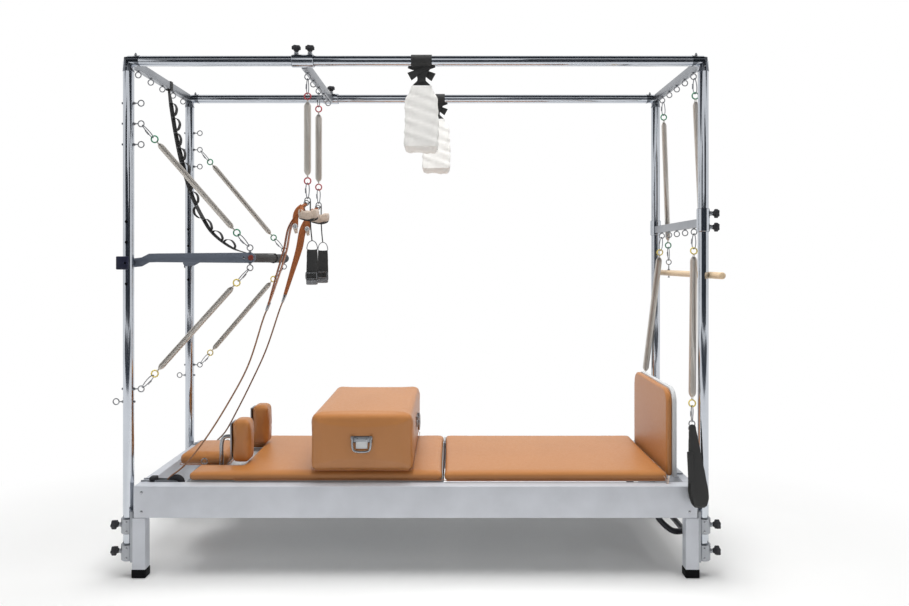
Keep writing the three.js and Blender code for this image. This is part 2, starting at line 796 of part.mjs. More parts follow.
// One wound wire along +Z, with flat ends
function coil({ start, end, diameter, curls }) {
  const radius = (diameter - springWire) / 2;
  const steps = curls * coilSteps;
  const points = Array.from({ length: steps + 1 }, (_, i) => {
    const turn = (i / coilSteps) * Math.PI * 2;
    return at(radius * Math.cos(turn), radius * Math.sin(turn), start + ((end - start) * i) / steps);
  });
  const rise = (end - start) / (curls * Math.PI * 2);
  const vertices = [];
  points.forEach((point, i) => {
    const turn = (i / coilSteps) * Math.PI * 2;
    const outward = at(Math.cos(turn), Math.sin(turn), 0);
    const forward = at(-radius * Math.sin(turn), radius * Math.cos(turn), rise).normalize();
    const sideways = forward.clone().cross(outward);
    for (let j = 0; j < coilSides; j += 1) {
      const angle = (j / coilSides) * Math.PI * 2;
      vertices.push(...point.clone()
        .addScaledVector(outward, (Math.cos(angle) * springWire) / 2)
        .addScaledVector(sideways, (Math.sin(angle) * springWire) / 2));
    }
  });
  const faces = [];
  const ringAt = (i, j) => i * coilSides + (j % coilSides);
  for (let i = 0; i < steps; i += 1) {
    for (let j = 0; j < coilSides; j += 1) {
      faces.push(ringAt(i, j), ringAt(i, j + 1), ringAt(i + 1, j));
      faces.push(ringAt(i, j + 1), ringAt(i + 1, j + 1), ringAt(i + 1, j));
    }
  }
  for (let j = 1; j + 1 < coilSides; j += 1) {
    faces.push(0, j + 1, j);
    faces.push(ringAt(steps, 0), ringAt(steps, j), ringAt(steps, j + 1));
  }
  const geometry = new THREE.BufferGeometry();
  geometry.setAttribute("position", new THREE.Float32BufferAttribute(vertices, 3));
  geometry.setIndex(faces);
  return { geometry, points };
}

// The least gap between turns of one wire, measured on the points of its middle line
function leastGap(points) {
  let least = Infinity;
  points.forEach((p, i) => {
    for (let j = i + coilSteps / 2; j < points.length; j += 1) {
      least = Math.min(least, p.distanceTo(points[j]));
    }
  });
  return least - springWire;
}

// The flat hook: its bar sits in the eye at the origin, its far end in the coloured ring
function hookPieces(bodyDiameter) {
  const window = eyeInside - touch;
  const ringMajor = (springRing - springRingWire) / 2;
  const far = ringCentre - ringMajor + hookBar / 2;
  const halfWidth = hookWindow / 2 + hookBar;
  const near = window - hookBar;
  const taper = hookBar / 2;
  const outline = polygon([
    [-halfWidth + taper, near], [halfWidth - taper, near], [halfWidth, far], [-halfWidth, far],
  ]);
  const hole = polygon([
    [-hookWindow / 2, near + hookBar], [hookWindow / 2, near + hookBar],
    [hookWindow / 2, far - hookBar], [-hookWindow / 2, far - hookBar],
  ]);
  outline.holes.push(hole);
  const ringPlace = at(0, 0, ringCentre);
  return [
    extruded(outline, hookThickness, "end"),
    ring(ringPlace, springRing, springRingWire, springRingSteps),
    rod(at(0, 0, ringCentre + ringMajor - overrun), at(0, 0, springEnd), coneNeck, coneSides, bodyDiameter),
  ];
}

let smallestGap = Infinity;
function springGeometry(length, diameter, curls) {
  const { geometry, points } = coil({
    start: springEnd - coilLap, end: length - springEnd + coilLap, diameter, curls,
  });
  smallestGap = Math.min(smallestGap, leastGap(points));
  const near = hookPieces(diameter);
  const far = hookPieces(diameter).map((piece) => piece.rotateX(Math.PI).translate(0, 0, length));
  return fused([...near, geometry, ...far]);
}

function addSpring(name, from, to, diameter, curls) {
  const reach = to.clone().sub(from);
  const spring = add(name, springGeometry(reach.length(), diameter, curls), steel, from);
  pointed(spring, reach);
}

// Springs of the push-through bar, from the head posts to the eyes on its arms
const armEye = (sideSign, lift) => pivot.clone().add(at(armEyeX, sideSign * armPlace, armRise + lift));
for (const [side, sideSign] of sides) {
  const postEyeAt = (height) => at(headX + postEyeReach, sideSign * postY, height);
  addSpring(`push_spring_top_${side}`, postEyeAt(upperEyeHeights[1]), armEye(sideSign, armEyeOffset),
    pushSpringDiameter, pushSpringCurls);
  addSpring(`push_spring_bottom_${side}`, postEyeAt(lowerEyeHeight), armEye(sideSign, -armEyeOffset),
    pushSpringDiameter, pushSpringCurls);
}

// Arm springs under the sliding bar; a ring on each carries a cuff and a leather pull strap
const sliderEye = (index) => sliderCentre.clone().add(
  at(0, index * headEyePitch, -barHeight / 2 - eyeDrop));
const strapRings = armSpringEyes.map((index) => sliderEye(index).add(at(0, 0, -armSpringDrop)));
armSpringEyes.forEach((index, i) => {
  addSpring(`arm_spring_${sides[i][0]}`, sliderEye(index), strapRings[i], armSpringDiameter, armSpringCurls);
});

// Leg springs under the height bar, which lean out past the post to the foot straps
const legLean = (sideSign) => at(
  -legSpringLeanAlongShare, sideSign * legSpringLeanAcrossShare, -1).normalize();
for (const [side, sideSign] of sides) {
  const from = midCentre.clone().add(at(0, sideSign * midEyePitch * 2, -barHeight / 2 - eyeDrop));
  const to = from.clone().addScaledVector(legLean(sideSign), legSpringLength);
  addSpring(`leg_spring_${side}`, from, to, legSpringDiameter, legSpringCurls);
  const outline = hangingOutline(footStrapHeight, footStrapDepth, footStrapBand);
  const padLoop = tapered(extruded(outline, footStrapBreadth, "end"), footStrapTopShare, footStrapHeight / 2)
    .translate(0, 0, -eyeMajor);
  const lean = sideSign * (footStrapLeanDegrees * Math.PI) / 180;
  const strapGeometry = fused([padLoop, ring(at(0, 0, 0), eyeDiameter, eyeWire)]);
  add(`foot_strap_${side}`, strapGeometry, webbing, to).rotation.x = lean;
}

// Roll-down bar on two springs from the foot crossbar
const rollBarOut = (tubeDiameter + rollBarDiameter) / 2 + touch;
const rollCentre = at(footX + rollBarOut, 0, rollBarHeight);
const rollPieces = [rod(
  at(0, -rollBarLength / 2, 0), at(0, rollBarLength / 2, 0), rollBarDiameter, tubeSides)];
for (const [side, sideSign] of sides) {
  const y = sideSign * rollEyePlace;
  rollPieces.push(...eyeBolt(at(0, y, rollEyeAbove), at(0, y, 0),
    at(0, y, -rollBarDiameter / 2 - rollEyeTail)));
  addSpring(`roll_spring_${side}`,
    at(footX, sideSign * footEyePitch * 2, railZ - barHeight / 2 - eyeDrop),
    rollCentre.clone().add(at(0, y, rollEyeAbove)), rollSpringDiameter, rollSpringCurls);
}
add("roll_down_bar", fused(rollPieces), beech, rollCentre);

// Carriage: a frame on four wheels, the pad with its wings, headrest and shoulder rests
const padBottom = padTop - padHeight;
const plateTop = padBottom - touch;
const plateBottom = plateTop - carriagePlateThickness;
const headPlateHalfWidth = padWidth / 2 - wingWidth - touch;
const wheelZ = trackTop + wheelDiameter / 2 + touch;
function carriageFrame() {
  const headEnd = carriageHead - wingLength;
  const pieces = [block(
    at(headEnd, -carriagePlateWidth / 2, plateBottom), at(carriageFoot, carriagePlateWidth / 2, plateTop))];
  for (const [, sideSign] of sides) {
    const y = sideSign * carriageBeamPlace;
    pieces.push(block(
      at(headEnd, y - carriageBeamWidth / 2, plateTop - carriageBeamHeight),
      at(carriageFoot, y + carriageBeamWidth / 2, plateBottom + overrun)));
    for (const x of [headEnd + wheelInset, carriageFoot - wheelInset]) {
      const outside = sideSign * (wheelPlace + wheelWidth / 2 - overrun);
      const inside = sideSign * (wheelPlace - wheelWidth / 2);
      pieces.push(rod(at(x, inside, wheelZ), at(x, outside, wheelZ), wheelDiameter, tubeSides));
      pieces.push(rod(at(x, y, wheelZ), at(x, inside + sideSign * overrun, wheelZ), wheelAxle));
    }
    const eyeY = sideSign * plateEyeAcross;
    const eyeZ = headPlateTop + eyeDrop;
    pieces.push(ring(at(plateEyePlace, eyeY, eyeZ), eyeDiameter, eyeWire));
    pieces.push(rod(at(plateEyePlace, eyeY, plateBottom), at(plateEyePlace, eyeY, eyeZ - eyeMajor),
      eyeStem, wireSides));
  }
  pieces.push(block(
    at(headEnd, -headPlateHalfWidth, plateTop - overrun),
    at(headEnd + wingLength - touch, headPlateHalfWidth, headPlateTop)));
  const slots = sides.map(([, sideSign]) => block(
    at(headEnd + wingLength - plateSlotLength, sideSign * (plateSlotPlace - plateSlotWidth / 2),
      plateTop + touch),
    at(headEnd + wingLength, sideSign * (plateSlotPlace + plateSlotWidth / 2), headPlateTop + overrun)));
  return fused(pieces, slots);
}
add("carriage_frame", carriageFrame(), aluminium);

function carriagePad() {
  const main = cushion({
    size: at(carriageFoot - carriageHead, padWidth, padHeight),
    rounding: padRounding, crown: padCrown, drawIn: padDrawIn,
  }).translate((carriageFoot + carriageHead) / 2, 0, padBottom);
  const wings = sides.map(([, sideSign]) => cushion({
    size: at(wingLength + wingLap, wingWidth, padHeight),
    rounding: padRounding, crown: padCrown / 2, cells: smallCushionCells,
  }).translate(
    carriageHead + wingLap - (wingLength + wingLap) / 2,
    sideSign * (padWidth - wingWidth) / 2, padBottom));
  return fused([main, ...wings]);
}
add("carriage_pad", carriagePad(), tan);

const headrestCentre = headrestFoot - headrestLength / 2;
add("headrest", cushion({
  size: at(headrestLength, headrestWidth, headrestHeight),
  rounding: padRounding, crown: padCrown, drawIn: padDrawIn,
}), tan, at(headrestCentre, 0, headPlateTop + touch));

// Shoulder rests stand on the plate: a bent rod, a backing board and an upholstered block
for (const [side, sideSign] of sides) {
  const padBack = shoulderPadFoot - shoulderPadDepth;
  const middle = (shoulderPadBottom + shoulderPadTop) / 2;
  const foot = headPlateTop + touch;
  const rodLine = [
    at(shoulderPlace, 0, foot), at(shoulderPlace, 0, shoulderKnee - shoulderRod * 2),
    at(shoulderPlace + shoulderRod, 0, shoulderKnee), at(padBack - shoulderBack / 2, 0, shoulderKnee),
  ];
  const cover = cushion({
    size: at(shoulderPadTop - shoulderPadBottom, shoulderPadWidth, shoulderPadDepth),
    rounding: padRounding, crown: padCrown, drawIn: padDrawIn, cells: smallCushionCells,
  }).rotateY(Math.PI / 2).translate(padBack, 0, middle);
  const backing = block(
    at(padBack - shoulderBack, -shoulderPadWidth / 2 + padRounding, shoulderPadBottom + padRounding),
    at(padBack + overrun, shoulderPadWidth / 2 - padRounding, shoulderPadTop - padRounding));
  const flange = rod(at(shoulderPlace, 0, foot), at(shoulderPlace, 0, foot + shoulderFlangeHeight),
    shoulderFlange, tubeSides);
  const stem = swept(rodLine, circleSection(shoulderRod, nutSides), bendSteps);
  add(`shoulder_rest_${side}`, fused([cover, backing, flange, stem]), tan,
    at(0, sideSign * shoulderAcross, 0));
}

// Pulleys between the cheeks at the head end
for (const [side, sideSign] of sides) {
  const [r, w, bore] = [pulleyDiameter / 2, pulleyWidth / 2, pulleyAxle / 2 + touch];
  const profile = [
    [bore, -w], [r, -w], [r - pulleyGroove, 0], [r, w], [bore, w], [bore, -w],
  ].map(([x, y]) => new THREE.Vector2(x, y));
  const wheel = new THREE.LatheGeometry(profile, tubeSides);
  add(`pulley_${side}`, fused([wheel]), black, at(pulleyPlace, sideSign * pulleyAcross, pulleyHeight));
}

// Sitting box across the carriage, with a bail handle on its front and its foot side
const boxCentreX = boxFoot - boxLength / 2;
const boxBottom = padTop + padCrown + touch;
function bailHandle(topHeight) {
  const [w, d] = [handleWidth / 2, handleDrop];
  const plate = block(
    at(-w, -handlePlateThickness, -handlePlateHeight), at(w, overrun * 2, 0));
  const bail = new THREE.Shape();
  bail.moveTo(-w + handleWire, -overrun);
  bail.lineTo(-w + handleWire, -d);
  bail.lineTo(-w + handleWire * 2, -d - handleWire);
  bail.lineTo(w - handleWire * 2, -d - handleWire);
  bail.lineTo(w - handleWire, -d);
  bail.lineTo(w - handleWire, -overrun);
  bail.lineTo(w, -overrun);
  bail.lineTo(w, -d);
  bail.lineTo(w - handleWire, -d - handleWire * 2);
  bail.lineTo(-w + handleWire, -d - handleWire * 2);
  bail.lineTo(-w, -d);
  bail.lineTo(-w, -overrun);
  const hoop = extruded(bail, handleWire, "side").translate(0, -handleStand, 0);
  const ears = block(at(-w, -handleStand - handleWire / 2, -handleWire * 2), at(w, 0, 0));
  return [plate, hoop, ears].map((piece) => piece.translate(0, 0, topHeight));
}
const boxBody = cushion({
  size: at(boxLength, boxAcross, boxHeight), rounding: boxRounding, crown: padCrown, drawIn: padDrawIn,
});
const frontHandle = bailHandle(handleTopHeight - boxBottom)
  .map((piece) => piece.translate(0, -boxAcross / 2 + padDrawIn, 0));
const footHandle = bailHandle(sideHandleTopHeight - boxBottom)
  .map((piece) => piece.rotateZ(Math.PI / 2).translate(boxLength / 2 - padDrawIn, 0, 0));
add("sitting_box", fused([boxBody, ...frontHandle, ...footHandle]), tan, at(boxCentreX, 0, boxBottom));

// Mat between the carriage and the jumpboard: a board on the rails with a cushion on it
const matLength = matFoot - carriageFoot - matGap;
const matBottom = railTop + touch;
const matBody = cushion({
  size: at(matLength, padWidth, padTop - matBottom - matBoard + overrun),
  rounding: matRounding, crown: padCrown, drawIn: padDrawIn,
}).translate(0, 0, matBoard - overrun);
const matPanel = block(
  at(-matLength / 2 + padDrawIn, -padWidth / 2 + padDrawIn * 2, 0),
  at(matLength / 2 - padDrawIn, padWidth / 2 - padDrawIn * 2, matBoard));
add("mat", fused([matBody, matPanel]), tan, at(carriageFoot + matGap + matLength / 2, 0, matBottom));

// Jumpboard: a board with rounded top corners, two brackets over the end rail and a pad
function boardOutline(inset) {
  const half = boardWidth / 2 - inset;
  const [low, high] = [boardBottom + inset, boardTop - inset];
  const corner = boardCorner - inset;
  const outline = new THREE.Shape();
  outline.moveTo(-half, low);
  outline.lineTo(half, low);
  outline.absarc(half - corner, high - corner, corner, 0, Math.PI / 2, false);
  outline.absarc(-half + corner, high - corner, corner, Math.PI / 2, Math.PI, false);
  return outline;
}
const boardBack = boardFace + boardPad + touch + boardThickness;
const jumpPieces = [extruded(boardOutline(0), boardThickness, "end")
  .translate(boardBack - boardThickness / 2, 0, 0)];
for (const [, sideSign] of sides) {
  const y = sideSign * bracketPlace;
  const seat = railTop + touch;
  jumpPieces.push(block(
    at(boardBack - overrun, y - bracketWidth / 2, seat),
    at(railEnd - bracketThickness, y + bracketWidth / 2, seat + bracketThickness)));
  jumpPieces.push(block(
    at(boardBack - overrun, y - bracketWidth / 2, seat),
    at(boardBack + bracketThickness, y + bracketWidth / 2, seat + bracketRise)));
}
add("jumpboard_panel", fused(jumpPieces), board);
const jumpPadShape = boardOutline(boardPadInset);
add("jumpboard_pad", new THREE.ExtrudeGeometry(jumpPadShape, {
  depth: boardPad / 2, curveSegments: arcSteps, bevelEnabled: true, bevelSegments: 1,
  bevelThickness: boardPad / 4, bevelSize: boardPadInset,
}).translate(0, 0, boardPad / 4 - boardPad / 2).applyMatrix4(planes.end)
  .translate(boardFace + boardPad / 2, 0, 0), tan);

// Footbar folded down under the foot end
const footbarSide = (sideSign) => {
  const y = sideSign * footbarHalf;
  return [
    at(0, y, 0), at(footbarReach - footbarCorner, y, -footbarDrop + footbarCorner),
    at(footbarReach, y - sideSign * footbarCorner, -footbarDrop),
  ];
};
const footbarLine = [...footbarSide(-1), ...footbarSide(1).reverse()];
const footbarPieces = [swept(footbarLine, circleSection(footbarTube, rodSides), footbarSteps)];
for (const [, sideSign] of sides) {
  const inner = sideSign * (footbarHalf - footbarTube / 2);
  footbarPieces.push(rod(at(0, inner, 0), at(0, sideSign * (railInside - touch), 0), footbarBoss));
}
add("footbar", fused(footbarPieces), black, at(footbarPivotPlace, 0, footbarPivotHeight));

// Safety strap: wrapped on the head crossbar, hung in a slack line and looped on the push bar
const gripPlace = pivot.clone().add(at(handleX, safetyAcross, armRise));
function safetyStrap() {
  const wrapHalf = at(barThickness / 2 + touch, strapWidth / 2, barHeight / 2 + touch);
  const wall = at(strapThickness, 0, strapThickness);
  const wrapCentre = at(headX, safetyAcross, railZ);
  const wrap = block(wrapCentre.clone().sub(wrapHalf).sub(wall), wrapCentre.clone().add(wrapHalf).add(wall));
  const through = at(0, overrun, 0);
  const window = block(
    wrapCentre.clone().sub(wrapHalf).sub(through), wrapCentre.clone().add(wrapHalf).add(through));
  const loopInside = (gripDiameter / 2 + touch) * arcGrowth;
  const loopRadius = loopInside + strapThickness;
  const loopTail = at(gripPlace.x - safetyLoopLength, safetyAcross, gripPlace.z + loopRadius);
  const line = [
    wrapCentre.clone().add(at(0, 0, -wrapHalf.z - strapThickness / 2)),
    ...safetyRoute.map(([x, z]) => at(x, safetyAcross, z)), loopTail,
  ];
  const hanging = swept(line, stripSection(strapWidth, strapThickness), stripSteps);
  const outline = new THREE.Shape();
  const underside = (radius, tail) => -Math.PI / 2 - Math.atan(radius / tail) * 2;
  const holeTail = safetyLoopLength - strapWidth;
  outline.absarc(0, 0, loopRadius, Math.PI / 2, underside(loopRadius, safetyLoopLength), true);
  outline.lineTo(-safetyLoopLength - strapThickness, loopRadius - strapThickness);
  outline.lineTo(-safetyLoopLength - strapThickness, loopRadius + strapThickness);
  const hole = new THREE.Path();
  hole.absarc(0, 0, loopInside, Math.PI / 2, underside(loopInside, holeTail), true);
  hole.lineTo(-holeTail, loopInside);
  outline.holes.push(hole);
  const loop = extruded(outline, strapWidth, "side").translate(...gripPlace);
  return fused([hanging, wrap, loop], [window]);
}
add("safety_strap", safetyStrap(), webbing);

// Slings on the top rails: a webbing wrap, a gathered neck and a padded loop
sides.forEach(([side, sideSign], i) => {
  const wrapOuter = tubeDiameter + (touch + slingWebThickness) * 2;
  const half = slingWrapWidth / 2;
  const neckTop = -wrapOuter / 2 + slingWebThickness;
  const neckLow = neckTop - slingNeckLength;
  const neck = polygon([
    [-half, neckTop], [-slingNeckWidth / 2, neckLow + slingNeckWidth / 2],
    [-slingNeckWidth, neckLow - overrun], [slingNeckWidth, neckLow - overrun],
    [slingNeckWidth / 2, neckLow + slingNeckWidth / 2], [half, neckTop],
  ]);
  const outline = hangingOutline(slingPadHeight, slingPadDepth, slingBand);
  const pad = tapered(extruded(outline, slingPadWidth, "end"), slingTopShare, slingPadDepth);
  const pieces = [
    rod(at(-half, 0, 0), at(half, 0, 0), wrapOuter, tubeSides),
    extruded(neck, slingNeckThickness, "side"),
    pad.translate(0, 0, neckLow + overrun),
  ];
  const bore = rod(at(-half - overrun, 0, 0), at(half + overrun, 0, 0), turningBore, tubeSides)
    .rotateX(Math.PI / tubeSides);
  add(`sling_${side}`, fused(pieces, [bore]), fleece, at(slingPlaces[i], sideSign * postY, railZ));
});

// Cuffs and leather pull straps with their padded hand loops hang from the rings under the arm springs
const pullKnots = pullKnotPoints.map((point) => at(...point));
sides.forEach(([side], i) => {
  const hub = strapRings[i];
  const stem = block(
    at(eyeMajor - eyeWire / 2, -cuffStemWidth / 2, -cuffStemLength),
    at(eyeMajor + eyeWire / 2, cuffStemWidth / 2, 0));
  const shoulder = block(
    at(eyeMajor - eyeWire / 2, -cuffStemWidth / 2, -cuffStemLength - overrun),
    at(cuffAside + cuffBand, cuffStemWidth / 2, -cuffStemLength + cuffBand));
  const cuffOutline = hangingOutline(cuffHeight, cuffDepth, cuffBand);
  const cuffLoop = tapered(extruded(cuffOutline, cuffBreadth, "end"), cuffTopShare, cuffRingHeight)
    .translate(cuffAside, 0, -cuffStemLength);
  add(`cuff_${side}`, fused([ring(at(0, 0, 0), eyeDiameter, eyeWire), stem, shoulder, cuffLoop]), black, hub);

  const knot = pullKnots[i].clone().sub(hub);
  const slope = knot.clone().normalize();
  const seat = eyeInside - touch;
  const fall = at(...pullTabFallShares).normalize();
  const ringRadius = eyeMajor - eyeWire / 2;
  const tabCentre = fall.clone().multiplyScalar(seat - hookBar / 2 + ringRadius);
  const tabRing = new THREE.TorusGeometry(ringRadius, hookBar / 2, wireSides, ringSteps)
    .applyQuaternion(new THREE.Quaternion().setFromUnitVectors(up, fall.clone().cross(across)))
    .translate(...tabCentre);
  const strapTop = fall.clone().multiplyScalar(seat - hookBar / 2 + ringRadius * 2);
  const strapLine = [
    strapTop, ...pullStrapShares.map((shares) => knot.clone().multiply(at(...shares))), knot,
  ];
  const ribbon = swept(strapLine, stripSection(pullStrapWidth, pullStrapThickness), stripSteps);
  const knotEnd = knot.clone().addScaledVector(slope, knotLength);
  const ferrule = rod(knot.clone().addScaledVector(slope, -knotLength / 2), knotEnd, knotDiameter);
  const oval = ovalOutline(handLoopLength, handLoopWidth);
  oval.holes.push(ovalOutline(handLoopLength - handLoopBand * 2, handLoopWidth - handLoopBand * 2));
  const handLoop = extruded(oval, handLoopHeight, "top").translate(handLoopAside, 0, -handLoopDrop);
  add(`pull_strap_${side}`, fused([tabRing, ribbon, ferrule, handLoop]), leather, hub);
});

// Ropes from the pull straps round the pulleys to the carriage
sides.forEach(([side, sideSign], i) => {
  const knot = pullKnots[i];
  const slope = knot.clone().sub(strapRings[i]).normalize();
  const start = knot.clone().addScaledVector(slope, knotLength + touch);
  const wrap = pulleyDiameter / 2 - pulleyGroove / 2 + ropeDiameter;
  const y = sideSign * pulleyAcross;
  const aroundPulley = pulleyWrapDegrees.map((degrees) => at(
    pulleyPlace + wrap * Math.cos((degrees * Math.PI) / 180), y,
    pulleyHeight + wrap * Math.sin((degrees * Math.PI) / 180)));
  const anchor = at(carriageHead - wingLength - touch, sideSign * (carriageBeamPlace + carriageBeamWidth / 4),
    plateTop - carriageBeamHeight + ropeDiameter);
  const line = [
    start, start.clone().addScaledVector(slope, ropeDiameter * 2),
    ...ropeRoutePoints[i].map((point) => at(...point)), ...aroundPulley,
    anchor.clone().add(at(-ropeDiameter * 2, 0, 0)), anchor,
  ];
  add(`pull_rope_${side}`, swept(line, circleSection(ropeDiameter, ropeSides), ropeSteps), ropeCloth);
});

console.log(`least gap of a spring wire to itself: ${smallestGap.toFixed(1)} mm`);

export default table;
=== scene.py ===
"""Dresses the pilates trapeze table: chrome canopy, springs, bed, upholstery and straps."""

import logging
import math
from collections.abc import Iterable, Sequence
from dataclasses import dataclass
from enum import Enum
from typing import Union

import bmesh
import bpy
from mathutils import Matrix, Vector


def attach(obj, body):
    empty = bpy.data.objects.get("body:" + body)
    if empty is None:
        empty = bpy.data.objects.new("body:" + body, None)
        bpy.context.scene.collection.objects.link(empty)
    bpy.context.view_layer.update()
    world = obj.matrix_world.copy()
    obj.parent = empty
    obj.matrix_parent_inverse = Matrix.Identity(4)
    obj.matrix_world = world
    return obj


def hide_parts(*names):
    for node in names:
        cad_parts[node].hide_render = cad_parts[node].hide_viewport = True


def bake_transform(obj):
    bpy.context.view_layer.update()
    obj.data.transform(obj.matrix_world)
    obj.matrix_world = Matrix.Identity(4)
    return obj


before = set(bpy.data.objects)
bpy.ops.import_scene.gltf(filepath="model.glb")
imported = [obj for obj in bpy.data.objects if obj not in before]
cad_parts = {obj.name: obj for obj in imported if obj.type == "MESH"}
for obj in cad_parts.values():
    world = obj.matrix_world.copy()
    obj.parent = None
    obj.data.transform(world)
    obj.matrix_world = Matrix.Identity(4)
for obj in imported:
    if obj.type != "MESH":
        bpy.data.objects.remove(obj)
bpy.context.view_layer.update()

log = logging.getLogger("trapeze_table")
MM = 0.001
TURN = math.tau
X, Y, Z = Vector((1, 0, 0)), Vector((0, 1, 0)), Vector((0, 0, 1))
POST_X, POST_Y, RAIL_Z = 1218, 340, 2178
SLIDER_X = -478
PULLEY = (-1036, 292, 373)
ROPE_EYE = (-975.3, 269.5, 319.7)
ENDS = (("head", -1), ("foot", 1))
SIDES = (("front", -1), ("rear", 1))
Piece = bpy.types.Object
Pair = tuple[float, float]
Triple = tuple[float, float, float]
Colour = tuple[int, int, int]
Value = Union[float, "Signal"]
Point = Union[Vector, Sequence[float]]


def srgb(red: int, green: int, blue: int) -> tuple[float, float, float, float]:
    """Turns a display colour into the linear colour that a shader takes.

    Args:
        red, green, blue: Channels from 0 to 255.

    Returns:
        The linear colour with full opacity.
    """
    def linear(channel: int) -> float:
        """One channel of the display curve, undone."""
        share = channel / 255
        return share / 12.92 if share <= 0.04045 else ((share + 0.055) / 1.055) ** 2.4
    return linear(red), linear(green), linear(blue), 1.0


def arc(centre: Pair, radius: float, first: float, last: float, steps: int) -> list[Pair]:
    """Even points on an arc in a plane, both ends included.

    Args:
        centre: Its middle.
        radius: Its radius.
        first, last: The angles of its ends in degrees.
        steps: How many steps lie between them.

    Returns:
        The points as pairs.
    """
    angles = [math.radians(first + (last - first) * k / steps) for k in range(steps + 1)]
    return [(centre[0] + radius * math.cos(a), centre[1] + radius * math.sin(a)) for a in angles]


def mirrored(points: Sequence[Pair], *middle: Pair) -> list[Pair]:
    """Pairs, those in the middle, and the first ones backwards with the second number's sign changed."""
    return [*points, *middle, *((a, -b) for a, b in reversed(points))]


# Shaders

class Signal:
    """One value in a shader tree; Python's arithmetic on it adds Math nodes."""

    def __init__(self, tree: bpy.types.NodeTree, socket: bpy.types.NodeSocket) -> None:
        """Keeps the tree and the socket that the value comes from."""
        self.tree, self.socket = tree, socket

    def math(self, operation: str, *values: Value) -> "Signal":
        """Adds one Math node.

        Args:
            operation: The node's operation.
            values: Its inputs in order, numbers or signals.

        Returns:
            The node's result.
        """
        node = self.tree.nodes.new("ShaderNodeMath")
        node.operation = operation
        for socket, value in zip(node.inputs, values):
            if isinstance(value, Signal):
                self.tree.links.new(value.socket, socket)
            else:
                socket.default_value = value
        return Signal(self.tree, node.outputs[0])

    def __add__(self, other: Value) -> "Signal":
        """The sum."""
        return self.math("ADD", self, other)

    def __sub__(self, other: Value) -> "Signal":
        """The difference."""
        return self.math("SUBTRACT", self, other)

    def __mul__(self, other: Value) -> "Signal":
        """The product."""
        return self.math("MULTIPLY", self, other)

    def __pow__(self, other: Value) -> "Signal":
        """The power."""
        return self.math("POWER", self, other)

    __radd__ = __add__
    __rmul__ = __mul__

    def sine(self) -> "Signal":
        """The sine of an angle in radians."""
        return self.math("SINE", self)

    def size(self) -> "Signal":
        """The value without its sign."""
        return self.math("ABSOLUTE", self)


class Tree:
    """The node tree of one finish."""

    def __init__(self, name: str) -> None:
        """Starts a material whose shader is still plain."""
        self.material = bpy.data.materials.new(name)
        self.material.use_nodes = True
        self.nodes = self.material.node_tree
        self.shader = next(n for n in self.nodes.nodes if n.type == "BSDF_PRINCIPLED")

    def node(self, kind: str, settings: dict, values: dict) -> bpy.types.Node:
        """Adds any node.

        Args:
            kind: The node's type.
            settings: Its own properties, set first.
            values: Numbers, colours or signals by the name or place of the socket.

        Returns:
            The node.
        """
        node = self.nodes.nodes.new(kind)
        for key, value in settings.items():
            setattr(node, key, value)
        for key, value in values.items():
            self.feed(node.inputs[key], value)
        return node

    def feed(self, socket: bpy.types.NodeSocket, value: object) -> None:
        """Links a signal to a socket, or sets the socket's own value."""
        if isinstance(value, Signal):
            self.nodes.links.new(value.socket, socket)
        else:
            socket.default_value = value

    def out(self, node: bpy.types.Node, place: int = 0) -> Signal:
        """One output of a node."""
        return Signal(self.nodes, node.outputs[place])

    def place(self, stretch: Sequence[float] = (1, 1, 1)) -> Signal:
        """Where a point lies on the piece, in metres, with each axis scaled by the stretch."""
        found = self.out(self.node("ShaderNodeTexCoord", {}, {}), 3)
        return self.out(self.node("ShaderNodeMapping", {}, {"Vector": found, "Scale": stretch}))

    def noise(self, scale: float, detail: float = 3, stretch: Sequence[float] = (1, 1, 1)) -> Signal:
        """Cloudy variation round one half, with that many blobs per metre and finer ones on them."""
        return self.out(self.node("ShaderNodeTexNoise", {}, {
            "Vector": self.place(stretch), "Scale": scale, "Detail": detail}))

    def cells(self, scale: float) -> Signal:
        """Distance to the nearest grain of a pebbled skin, with that many grains per metre."""
        return self.out(self.node("ShaderNodeTexVoronoi", {"feature": "F1"}, {
            "Vector": self.place(), "Scale": scale}))

    def thread(self) -> tuple[Signal, Signal]:
        """How far along and across a strap or rope a point lies, in metres."""
        found = self.out(self.node("ShaderNodeTexCoord", {}, {}), 2)
        split = self.node("ShaderNodeSeparateXYZ", {}, {0: found})
        return self.out(split, 0), self.out(split, 1)

    def blended(self, share: Value, first: Sequence[int], second: Sequence[int]) -> Signal:
        """Mixes two display colours; the share is that of the second."""
        return self.out(self.node("ShaderNodeMix", {"data_type": "RGBA"}, {
            0: share, 6: srgb(*first), 7: srgb(*second)}), 2)

    def bump(self, height: Signal, depth: float) -> Signal:
        """Relief of that depth in millimetres."""
        return self.out(self.node("ShaderNodeBump", {}, {
            "Height": height, "Distance": depth * MM, "Strength": 1.0}))

    def finish(self, **sockets: object) -> bpy.types.Material:
        """Sets the shader's sockets, by their names with lines for spaces, and gives the material."""
        for key, value in sockets.items():
            self.feed(self.shader.inputs[key.replace("_", " ")], value)
        return self.material


@dataclass(frozen=True)
class Finish:
    """What every finish has: the material's name and its colour on a display."""

    name: str
    colour: Colour


